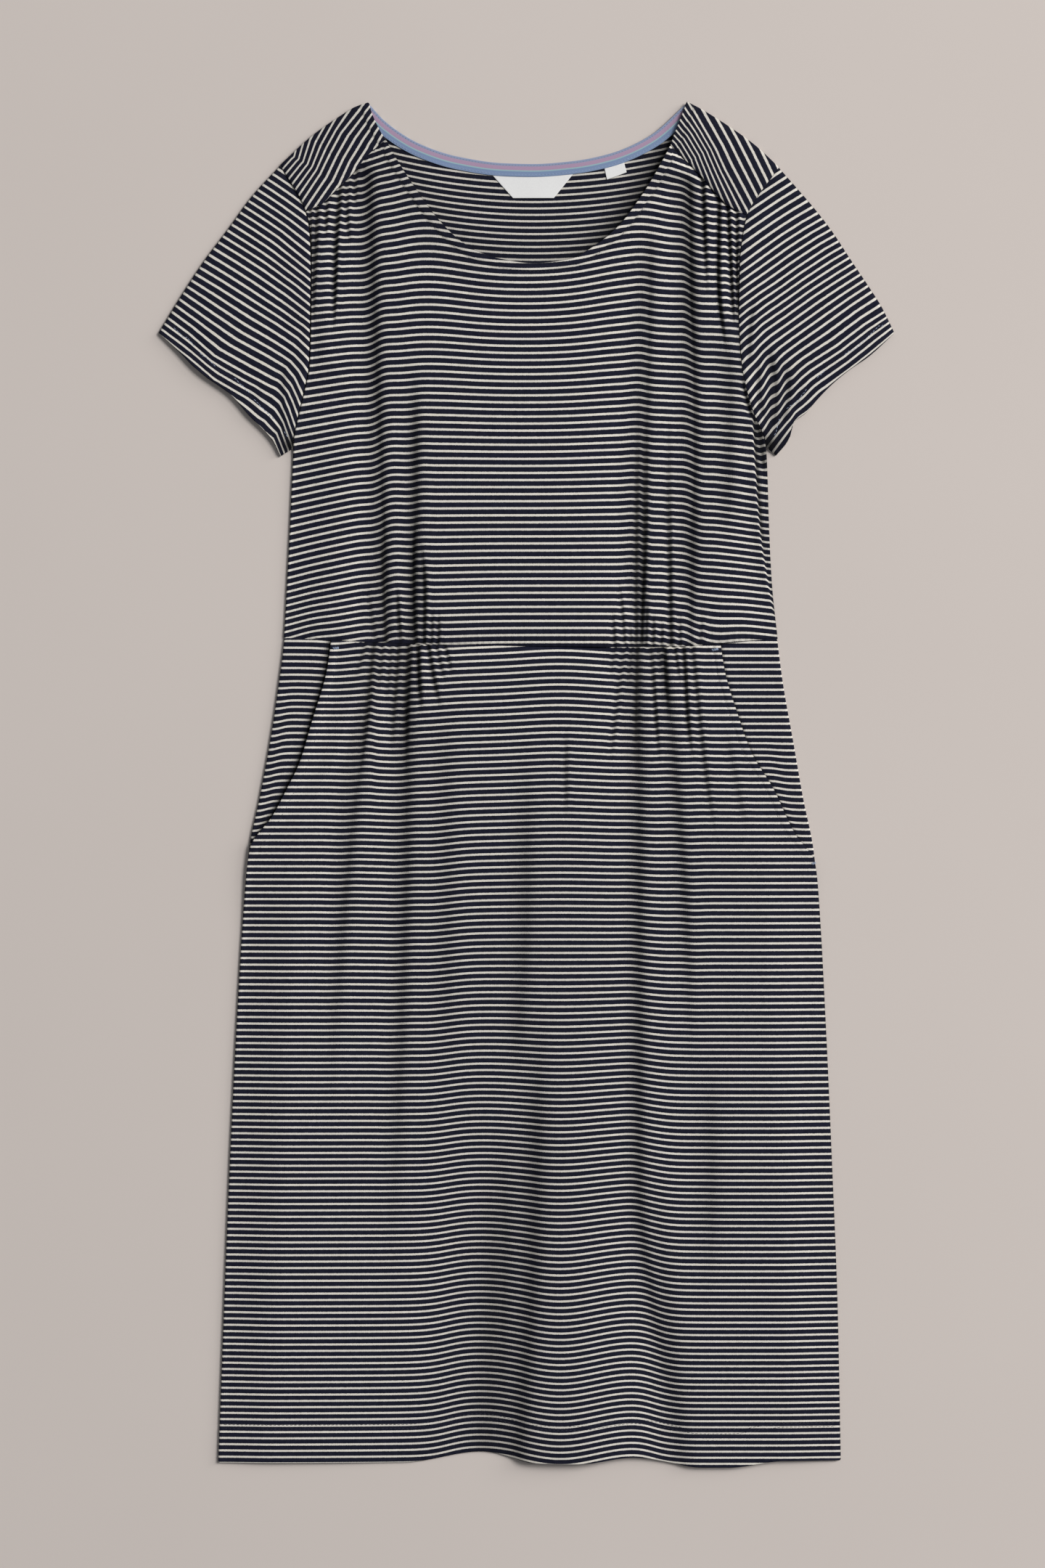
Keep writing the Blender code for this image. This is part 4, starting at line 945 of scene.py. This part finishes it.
def bodice_stripes(x, y, step):
    sag = smooth(LEFT_FALL, y) * past(-x - 92) + smooth(RIGHT_FALL, y) * past(x - 98)
    sag -= smooth(LEFT_LIFT, y) * bell(x + 78, 28) + smooth(RIGHT_LIFT, y) * bell(x - 88, 32)
    sag += (1.6 + 1.1 * ramp(y - 150, 60)) * lap_share(x, y)
    sag -= 2.2 * bell(x + 166, 11) * np.exp((113 - y) / 32)
    sag += 4.4 * bell(x - 145, 13) * np.exp((114 - y) / 36)
    return (BODICE_ORIGIN - y - sag - step) / BODICE_PITCH


def skirt_height(x, y):
    """Height of the front skirt's outer face, the stripes' steps and the shade painted on it."""
    from_side = np.minimum(x - smooth(SKIRT_LEFT, y), smooth(SKIRT_RIGHT, y) - x)
    from_waist = smooth(WAIST, x) - y
    from_hem = y - smooth(HEM, x)
    at_pocket = ramp(y + 60, 12)

    # The pocket mouths gape in their middle
    edge = SIDE_TOP + (POCKET_EDGE - SIDE_TOP) * ramp(y + 120, 60)
    up_mouth = np.clip((y - POCKET_LOW) / (POCKET_HIGH - POCKET_LOW), 0, 1)
    gape = np.sin(np.pi * up_mouth) ** 1.4
    edge += gape * np.where(x < 0, 2.2, 0.6)
    swell = 0.5 + 0.5 * bell(x - 35, 45)
    end = HEM_TOP + (MIDDLE - HEM_TOP) * (swell + (1 - swell) * ramp(from_hem, 120))
    end += 3.0 * bell(x - 36, 36) * ramp(-y - 120, 260)
    ridge = np.maximum(SEAM + (end - SEAM) * ramp(from_waist, 12), edge)

    folds, step, shade = relief(x, y, SKIRT_FOLDS)
    # Painted shade over the middle of the skirt, coming in below the waist
    shade = darker(shade, 0.09 * bell(x + 4, 60) * ramp(60 - y, 160))
    height = side_lift(from_side, edge, ridge)
    height += folds * (0.1 + 0.9 * ramp(from_side, 5 + 11 * at_pocket))
    gathers = pucker(from_waist, x + 1.5, SKIRT_GATHER, 6.0) * ramp(np.abs(x) - 60, 8)
    height += 0.18 * gathers - bell(from_waist, 1.0)
    step += 0.35 * gathers * ramp(136 - np.abs(x), 8) * np.exp(-from_waist / 5)

    height += turned_edge(from_hem, HEM_TURN)
    height += at_pocket * turned_edge(from_side, POCKET_TURN, past_groove=0.2)
    floor = 1.9 + 1.9 * ramp(y + 110, 40) * ramp(34 - from_side, 10)
    return kept_above(height, floor), step, shade


def skirt_stripes(x, y, step):
    high = ramp(y + 60, 130)
    sag = smooth(HEM_LEFT, y) * step_up(-x - 60 - 18 * high, 8.5 + 6 * high)
    sag -= 1.9 * step_up(-x - 118, 1.5) * ramp(y + 40, 100)
    sag += 3.3 * ramp(-x - 116, 34) * ramp(y - 10, 100)
    sag += smooth(HEM_MIDDLE, y) * bell(x - 26, 27)
    sag += smooth(HEM_RIGHT, y) * step_up(x - 98, 7.0)
    return smooth(SKIRT_COUNT, y + sag + step)


# Panels


def dress_piece(item, node_name):
    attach(item, "root")
    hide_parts(node_name)


def side_edges(left, right, loose_left, loose_right):
    """Side edges of a front panel's grid, further in where a side lies loose on the back."""
    return (lambda y: smooth(left, y) + SEAM_RADIUS + LOOSE_INSET * loose_left(y),
            lambda y: smooth(right, y) - SEAM_RADIUS - LOOSE_INSET * loose_right(y))


def make_front_bodice():
    def loose(y):
        return ramp(BODICE_LOOSE - y, 10)

    x, y = panel_grid(lambda at: smooth(WAIST, at) + SEAM_RADIUS,
                      lambda at: top_edge(LEFT_YOKE_SEAM, FRONT_NECK, RIGHT_YOKE_SEAM, at)
                      - SEAM_RADIUS,
                      *side_edges(LEFT_EDGE, RIGHT_EDGE, loose, loose),
                      stations(340, pitch=2.1, fine_start=0.45, fine_end=0.5),
                      stations(350, pitch=0.82, fine_start=0.5, fine_end=0.5))
    z, step, shade = bodice_height(x, y)
    count = bodice_stripes(x, y, step)
    on_neck = (x[-1] > FRONT_NECK[0][0] + 1) & (x[-1] < FRONT_NECK[-1][0] - 1)
    left, right = loose(y[:, 0]), loose(y[:, -1])
    turned = border_values(x, 0, right, on_neck, left)
    radius = SEAM_RADIUS + LOOSE_RADIUS * border_values(x, 0, right, 0, left)
    # Painted shade on the rolled right side and on the neck's edge
    item = shell("front_bodice_cloth", x, y, z, x, count * STRIPE, JERSEY, radius, turned,
                 shade=shade, rim=border_values(x, 0, 0.4, 0.6 * on_neck, 0))
    dress_piece(item, "front_bodice")


def make_front_skirt():
    def loose_left(y):
        return ramp(SKIRT_LOOSE_LEFT - y, 20)

    def loose_right(y):
        return ramp(SKIRT_LOOSE_RIGHT - y, 20)

    x, y = panel_grid(lambda at: smooth(HEM, at) + 0.7,
                      lambda at: smooth(WAIST, at) - SEAM_RADIUS,
                      *side_edges(SKIRT_LEFT, SKIRT_RIGHT, loose_left, loose_right),
                      stations(640, pitch=2.7, fine_start=0.5, fine_end=0.45),
                      stations(480, pitch=1.3, fine_start=0.5, fine_end=0.5))
    z, step, shade = skirt_height(x, y)
    count = skirt_stripes(x, y, step)
    left, right = loose_left(y[:, 0]), loose_right(y[:, -1])
    turned = border_values(x, 1, 1, 0, 1)
    radius = border_values(x, 0.7, SEAM_RADIUS + LOOSE_RADIUS * right, SEAM_RADIUS,
                           SEAM_RADIUS + LOOSE_RADIUS * left)
    # Painted shade on the rolled right side
    item = shell("front_skirt_cloth", x, y, z, x, count * STRIPE, JERSEY, radius, turned,
                 shade=shade, rim=border_values(x, 0, 0.4, 0, 0))
    dress_piece(item, "front_skirt")


def back_bodice_stripes(x, y):
    """Stripes on the inner face, which bow a little, and on the face below."""
    bow = BACK_BOW * (x - BACK_MIDDLE) ** 2
    return (BACK_ORIGIN + bow - y) / BACK_PITCH, (y - BACK_ORIGIN) / BELOW_PITCH


def back_skirt_stripes(x, y):
    count = smooth(SKIRT_COUNT, y)
    return count, count


def back_bodice_shade(x, y):
    """Painted shadow that the front's neck casts inside, deeper on the right."""
    from_neck, _ = near(x, y, spaced(FRONT_NECK, 61))
    return (0.14 + 0.60 * ramp(x - 10, 60)) * spot(from_neck, 13)


def make_back(node_name, low, high, rows, columns, stripes_of, shade_of=None):
    """Flat back panel, with stripes on both faces."""
    x, y = panel_grid(low, high,
                      lambda at: smooth(LEFT_EDGE, at) + BACK_INSET,
                      lambda at: smooth(RIGHT_EDGE, at) - BACK_INSET, rows, columns)
    inner, below = stripes_of(x, y)
    item = shell(f"{node_name}_cloth", x, y, np.full_like(x, BACK_TOP), x, inner * STRIPE,
                 JERSEY_BACK, radius=0.6, turned=1, under=(x, below * STRIPE),
                 shade=shade_of(x, y) if shade_of else None)
    dress_piece(item, node_name)


def make_yoke(node_name, seam, neck, shoulder, edge, corner_y, shoulder_y, drawn, slant, outward):
    """Shoulder yoke, on the left (outward -1) or the right (outward 1)."""
    across_count, up_count, draw = 95, 55, 0.44
    seam_x = np.linspace(seam[0][0], seam[-1][0], across_count)
    low = np.column_stack([seam_x, smooth(seam, seam_x)])
    outer_y = np.linspace(corner_y, shoulder_y, up_count)
    outer = np.column_stack([smooth(edge, outer_y), outer_y])
    sides = (outer, spaced(neck, up_count))
    x, y = patch(low, spaced(shoulder, across_count), *sides[::-outward])
    # Draw the border in, so that its own roll brings it back to the outline
    draw_in(x, y, draw)
    draw_in(x.T, y.T, draw)

    up = np.linspace(0, 1, up_count)[:, None]
    seam_off, seam_along = near(x, y, spaced(seam, 41))
    neck_off, _ = near(x, y, spaced(neck, 21))
    arm_off, _ = near(x, y, outer[::6])
    z = SEAM - 0.4 + 0.4 * np.sin(np.pi * np.clip(up * 0.9, 0, 1)) - 2.9 * up**3
    z = z - 0.6 * bell(seam_off, 1.0) + 0.20 * pucker(seam_off, seam_along, YOKE_GATHER, 3.0)
    z += turned_edge(neck_off, YOKE_TURN) - 0.5 * bell(arm_off, 1.0)
    z = np.maximum(z, 2.75 + 1.35 * (1 - ramp(neck_off - 12, 16)) * ramp(up - 0.35, 0.3))
    if outward < 0:
        z -= 0.45 * bell(near(x, y, LEFT_YOKE_CREASE)[0], 0.5)
    count = count_stripes(x, y, drawn, slant)
    count += 0.10 * ramp(YOKE_TURN.depth - neck_off, 0.8)
    at_left, at_right = (0, 1)[::-outward]
    turned = border_values(x, 0, at_right, 1, at_left)
    radius = border_values(x, SEAM_RADIUS, 0.62, 1.05, 0.62)
    # Painted shade all over the yoke, and in the groove of its neck stitches
    shade = darker(0.3 * bell(neck_off - YOKE_TURN.depth, 0.7), 0.10)
    item = shell(f"{node_name}_cloth", x, y, z, x * 0.5 + y * 0.86, count * STRIPE, JERSEY,
                 radius, turned, shade=shade)
    dress_piece(item, node_name)


def make_hip_panel(node_name, edge, pocket, pocket_end, outward):
    """Panel that shows in a pocket mouth, and tucks in under the front skirt."""
    tuck, clear = 13.0, 1.5
    rows = np.concatenate([[pocket_end - 9], np.linspace(pocket_end - 4, 112.3, 75)])
    side = smooth(edge, rows) - outward * clear
    mouth = smooth(pocket, rows) - outward * tuck
    x = side[:, None] + (mouth - side)[:, None] * np.linspace(0, 1, 44)
    y = rows[:, None] * np.ones_like(x)
    y[-1] = smooth(WAIST, x[-1]) - SEAM_RADIUS
    y[-2] = np.minimum(y[-2], y[-1] - 0.8)
    if outward > 0:
        x, y = x[:, ::-1], y[:, ::-1]
    from_side = np.abs(x - smooth(edge, y))
    from_waist = smooth(WAIST, x) - y
    from_mouth = np.maximum(outward * (x - smooth(pocket, y)), 0)
    z = SIDE_TOP + 0.5 * crown(from_side) + 0.25 * np.sin(y / 17.0) * ramp(from_side, 8)
    z -= 0.4 * bell(from_waist, 1.2)
    # Painted shadow of the pocket mouth's edge on the panel: wide on the left, a thin line on the
    # right
    if outward < 0:
        shade = 0.88 * spot(from_mouth, 4.0)
        sway = 2.7 * step_up(from_side - 7.5, 2.4) * ramp(95 - y, 55)
        sway -= 1.2 * np.exp(-from_mouth / 9) * ramp(y - 20, 60)
        shift = 0.45 * ramp(y + 50, 120)
    else:
        shade = 0.7 * spot(from_mouth, 1.5)
        sway = 2.2 * step_up(from_side - 16, 3.0) * ramp(45 - y, 40)
        shift = 0.25
    count = smooth(SKIRT_COUNT, y - sway + 2.5) + shift
    item = shell(f"{node_name}_cloth", x, y, z, x, count * STRIPE, JERSEY, SIDE_RADIUS,
                 border_values(x, 1, 1, 0, 1), tail=1.0, drop=1.0, shade=shade)
    dress_piece(item, node_name)


def sleeve_top(x, y, cuff_off, armhole, underarm, outward, folds):
    """Height of a sleeve's upper face, the stripes' steps and the shade painted on it."""
    along = np.linspace(0, 1, x.shape[0])[:, None]
    across = np.linspace(0, 1, x.shape[1])
    arm_off, _ = near(x, y, armhole[::4])
    lift, step, dark = relief(x, y, folds)
    middle = np.sin(np.pi * across) ** 0.55
    top = 2 * SIDE_RADIUS + 0.25 + (2.6 + 0.9 * (1 - ramp(along, 0.3)) + lift) * middle
    top -= 0.6 * bell(arm_off, 1.0) * ramp(across, 0.04)
    top += turned_edge(cuff_off, CUFF_TURN)
    # Painted shade in the crumple round the underarm corner
    from_corner = np.hypot(x - underarm[0] - outward, y - underarm[1] - 3)
    for share, width in ((0.9, 6), (0.4, 15)):
        dark = darker(dark, share * spot(from_corner, width))
    return np.maximum(top, 2 * SIDE_RADIUS + 0.1), step, dark


def sleeve_tube(x, y, top, u, v):
    """Closed rings of a flattened tube, from the armhole to the cuff.

    The columns are x, y, z, u and v, and the middle of the tube's mouth there (x, y, z).
    """
    def face(z):
        return np.stack([x, y, z, u, v, x, y, top / 2], axis=-1)

    def side(end, beside, angles):
        ones = np.ones(len(angles))
        end_x, end_y, end_u, end_v, half = (
            grid[:, end, None] * ones for grid in (x, y, u, v, top / 2))
        away = unit(np.column_stack([x[:, end] - x[:, beside], y[:, end] - y[:, beside]]))
        out = np.sin(angles) * SIDE_RADIUS
        return np.stack([end_x + away[:, :1] * out, end_y + away[:, 1:] * out,
                         half + half * np.cos(angles), end_u + angles * SIDE_RADIUS, end_v,
                         end_x, end_y, half], axis=-1)

    angles = np.linspace(0, np.pi, 7)[1:-1]
    return np.concatenate([face(top), side(-1, -2, angles), face(np.zeros_like(top))[:, ::-1],
                           side(0, 1, angles[::-1])], axis=1)


def turned_hem(tube):
    """Rings that turn in at a tube's last ring and run back inside it, and its way out."""
    grain = STRIPE / 4.9
    last = tube[-1]
    out = unit(last[:, :2] - tube[-2][:, :2])
    inward = last[:, 5:] - last[:, :3]
    inward /= np.maximum(np.linalg.norm(inward, axis=1), TINY)[:, None]
    rings = []
    for angle in ARC:
        ring = last.copy()
        ring[:, :2] += out * SEAM_RADIUS * (np.sin(angle) - 1)
        ring[:, :3] += inward * SEAM_RADIUS * (1 - np.cos(angle))
        ring[:, 4] += grain * SEAM_RADIUS * angle
        rings.append(ring)
    for back in (3.0, 8.0):
        ring = rings[len(ARC) - 1].copy()
        ring[:, :2] -= out * back
        ring[:, 4] = last[:, 4] - grain * back
        rings.append(ring)
    return rings, out


def make_sleeve(node_name, edge, fold_line, cuff, underarm, shoulder_y, outward, folds, drawn):
    """Short sleeve: one flattened tube with a turned hem inside its cuff."""
    ring_count, across_count = 84, 96
    armhole_y = np.linspace(shoulder_y, underarm[1], across_count)
    armhole = np.column_stack([smooth(edge, armhole_y) + outward * 0.5, armhole_y])
    armhole[0], armhole[-1] = fold_line[0], underarm
    cuff_line = spaced(cuff, across_count)
    x, y = patch(armhole, cuff_line, spaced(fold_line, ring_count),
                 np.linspace(armhole[-1], cuff_line[-1], ring_count))
    draw_in(x.T, y.T, SIDE_RADIUS, 0.7)
    cuff_off, _ = near(x, y, spaced(cuff, 81))
    top, step, dark = sleeve_top(x, y, cuff_off, armhole, underarm, outward, folds)
    count = count_stripes(x, y, drawn, 35 * outward) + step / STRIPE

    tube = sleeve_tube(x, y, top, x * 0.8 - outward * y * 0.6, count * STRIPE)
    hem, out = turned_hem(tube)
    tube[-1, :, :2] -= out * SEAM_RADIUS
    points = np.concatenate([tube, hem])[..., :5]
    index = np.arange(points[..., 0].size).reshape(points.shape[:2])
    after = np.roll(index, -1, axis=1)
    faces = np.stack([index[:-1], after[:-1], after[1:], index[1:]], axis=-1).reshape(-1, 4)
    # Painted shade on the rolled sides, the underside and the hem rings; the upper face keeps its
    # own
    shade = np.full(index.shape, 0.4)
    shade[:ring_count, :across_count] = dark
    item = mesh_object(f"{node_name}_cloth", points.reshape(-1, 5), faces[:, ::outward], JERSEY,
                       shade)
    dress_piece(item, node_name)

    # Pale blue stitches of the hem, which sink out of sight here and there
    pick = np.arange(3, across_count - 4)
    row = np.argmin(np.abs(cuff_off - CUFF_TURN.depth), axis=0)[pick]
    line = np.column_stack([x[row, pick], y[row, pick]])
    stitches(f"{node_name}_hem_stitches", line, top[row, pick] + 0.05, BLUE_THREAD,
             pitch=2.9, length=2.2, thick=0.38,
             skip=lambda at: np.sin(at * 0.21 + outward) + 0.7 * np.sin(at * 0.083) < -0.35)


# Trims and stitches


def dress_trim(item, node_name):
    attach(item, "root")
    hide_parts(node_name)


def make_tape(edge, down):
    """Tape down from the back neck's edge, with a row of stitches along each side."""
    across = np.linspace(TAPE_WIDTH, 0, 12)[:, None]
    x, y = (edge[:, k] + down[:, k] * (0.9 + across * 0.985) for k in (0, 1))
    run = lengths(edge)
    u, v = run * np.ones_like(x), across * np.ones_like(x)
    z = TRIM_TOP + 0.12 * np.sin(run / 9.0) * (v / TAPE_WIDTH)
    item = shell("neck_tape_woven", x, y, z, u, v, TAPE, radius=0.42, turned=1,
                 under=(u, v))
    dress_trim(item, "neck_tape")
    heights = np.full(len(edge), TRIM_TOP)
    stitches("tape_stitches_upper", edge + down * 1.9, heights, NAVY_THREAD,
             pitch=2.4, length=0.9, thick=0.26)
    stitches("tape_stitches_lower", edge + down * (TAPE_WIDTH - 0.4), heights, BLUE_THREAD,
             pitch=2.6, length=1.7, thick=0.30)


def make_labels(edge, down):
    """Thin satin labels, with the top edge under the tape and a slight curl at the foot."""
    tape_foot = edge + down * (TAPE_WIDTH + 0.2)
    columns, rows = 33, 15
    rise = np.linspace(0, 1, rows)[:, None]
    for node_name, foot, top in LABELS:
        low = np.linspace(*foot, columns)
        top_x = np.linspace(*top, columns)
        high = np.column_stack([top_x, np.interp(top_x, *tape_foot.T) + 1.5])
        x, y = (low[:, k] * (1 - rise) + high[:, k] * rise for k in (0, 1))
        z = 1.75 + 0.5 * (1 - rise) ** 2 + 0.12 * np.sin(x / 7.0) * (1 - rise)
        item = shell(f"{node_name}_satin", x, y, z, x, y, LABEL, radius=0.22, turned=1,
                     under=(x, y))
        dress_trim(item, node_name)


def make_seam_stitches():
    """Stitches of the neck band, the hem and the pocket mouths, on the cloth's own heights."""
    neck = offset_line(FRONT_NECK, NECK_TURN.depth)
    z = bodice_height(*neck.T)[0]
    stitches("neck_stitches", neck[4:-4], z[4:-4], NAVY_THREAD, pitch=3.0, length=2.2, thick=0.34)
    hem_x = np.linspace(-236, 240, 300)
    for k, beside in enumerate((-1.5, 1.5)):
        line = np.column_stack([hem_x, smooth(HEM, hem_x) + HEM_TURN.depth + beside])
        z = skirt_height(*line.T)[0]
        stitches(f"hem_stitches_{k + 1}", line, z, NAVY_THREAD, pitch=3.2, length=2.4, thick=0.32)
    for side, rows, sign in (("left", LEFT_POCKET, 1), ("right", RIGHT_POCKET, -1)):
        line = offset_line([(px, py) for py, px in rows], sign * POCKET_TURN.depth)
        z = skirt_height(*line.T)[0]
        stitches(f"pocket_stitches_{side}", line[3:-3], z[3:-3], NAVY_THREAD,
                 pitch=3.1, length=1.7, thick=0.26)


def bar_tack(name, start, end):
    """Dense bar of pale blue thread across the end of a pocket mouth."""
    pitch, half_width = 0.42, 1.1
    start, end = np.array(start), np.array(end)
    long = np.hypot(*(end - start))
    way = (end - start) / long
    k = np.arange(int(long / pitch))[:, None]
    side = np.where(k % 2, half_width, -half_width)
    line = start + way * pitch * k + np.array((-way[1], way[0])) * side
    stitches(name, line, skirt_height(*line.T)[0] + 0.15, BLUE_THREAD,
             pitch=2.4, length=2.3, thick=0.42)


make_back("back_bodice", lambda at: smooth(BACK_WAIST, at) + 0.6,
          lambda at: top_edge(LEFT_SHOULDER, BACK_NECK, RIGHT_SHOULDER, at) - BACK_INSET,
          stations(400, pitch=3.0), stations(350, pitch=3.0), back_bodice_stripes,
          back_bodice_shade)
make_back("back_skirt", lambda at: smooth(HEM, at) + 1.6,
          lambda at: smooth(BACK_WAIST, at) - 0.6,
          stations(640, pitch=5.0), stations(480, pitch=5.0), back_skirt_stripes)
make_front_bodice()
make_front_skirt()
make_yoke("yoke_left", LEFT_YOKE_SEAM, LEFT_YOKE_NECK, LEFT_SHOULDER, LEFT_EDGE,
          YOKE_CORNER_LEFT, SHOULDER_LEFT, LEFT_YOKE_STRIPES, 60, -1)
make_yoke("yoke_right", RIGHT_YOKE_SEAM, RIGHT_YOKE_NECK, RIGHT_SHOULDER, RIGHT_EDGE,
          YOKE_CORNER_RIGHT, SHOULDER_RIGHT, RIGHT_YOKE_STRIPES, -62, 1)
make_hip_panel("hip_panel_left", LEFT_EDGE, LEFT_POCKET, POCKET_END_LEFT, -1)
make_hip_panel("hip_panel_right", RIGHT_EDGE, RIGHT_POCKET, POCKET_END_RIGHT, 1)
make_sleeve("sleeve_left", LEFT_EDGE, LEFT_SLEEVE_FOLD, LEFT_CUFF, UNDERARM_LEFT,
            SHOULDER_LEFT, -1, LEFT_SLEEVE_FOLDS, LEFT_SLEEVE_STRIPES)
make_sleeve("sleeve_right", RIGHT_EDGE, RIGHT_SLEEVE_FOLD, RIGHT_CUFF, UNDERARM_RIGHT,
            SHOULDER_RIGHT, 1, RIGHT_SLEEVE_FOLDS, RIGHT_SLEEVE_STRIPES)
back_neck = spaced(BACK_NECK, 181)
make_tape(back_neck, right_of(back_neck))
make_labels(back_neck, right_of(back_neck))
make_seam_stitches()
bar_tack("bar_tack_left_top", (-150.2, 105.6), (-144.4, 106.2))
bar_tack("bar_tack_right_top", (143.6, 104.2), (149.6, 105.4))
bar_tack("bar_tack_right_foot", (221.0, -61.4), (224.6, -60.2))


# Floor, light and camera


def make_floor(half_side=4, z=-0.0002):
    corners = [(-half_side, -half_side, z), (half_side, -half_side, z),
               (half_side, half_side, z), (-half_side, half_side, z)]
    mesh = bpy.data.meshes.new("floor")
    mesh.from_pydata(corners, [], [(0, 1, 2, 3)])
    material, tree, shader = new_material("pale_floor")
    place = node(tree, "ShaderNodeTexCoord").outputs["Object"]
    colour = mix_colour(tree, noise(tree, place, 3.0, 3.0), (0.610, 0.550, 0.515),
                        (0.640, 0.580, 0.545))
    put(tree, shader.inputs["Base Color"], colour)
    shader.inputs["Roughness"].default_value = 0.9
    mesh.materials.append(material)
    add_object("floor", mesh)


def area_light(name, place, size, power):
    """Warm square light that shines on the middle of the dress."""
    light = bpy.data.lights.new(name, "AREA")
    light.size = size
    light.energy = power
    light.color = (1.0, 0.985, 0.965)
    item = add_object(name, light)
    item.location = place
    item.rotation_mode = "QUATERNION"
    item.rotation_quaternion = (-Vector(place)).to_track_quat("-Z", "Y")


make_floor()
area_light("key_light", (6.4, 3.5, 7.8), size=4.2, power=930.0)
area_light("low_light", (11.6, 4.9, 4.6), size=4.8, power=620.0)
world = bpy.data.worlds.new("studio")
world.use_nodes = True
background = world.node_tree.nodes["Background"]
background.inputs["Color"].default_value = (0.93, 0.96, 1.0, 1)
background.inputs["Strength"].default_value = 0.21
bpy.context.scene.world = world
bpy.context.scene.view_settings.view_transform = "Standard"

camera_data = bpy.data.cameras.new("camera")
camera_data.lens = 77.0
camera = add_object("camera", camera_data)
camera.location = (-0.0031, 0.00056, 2.604)
bpy.context.scene.camera = camera
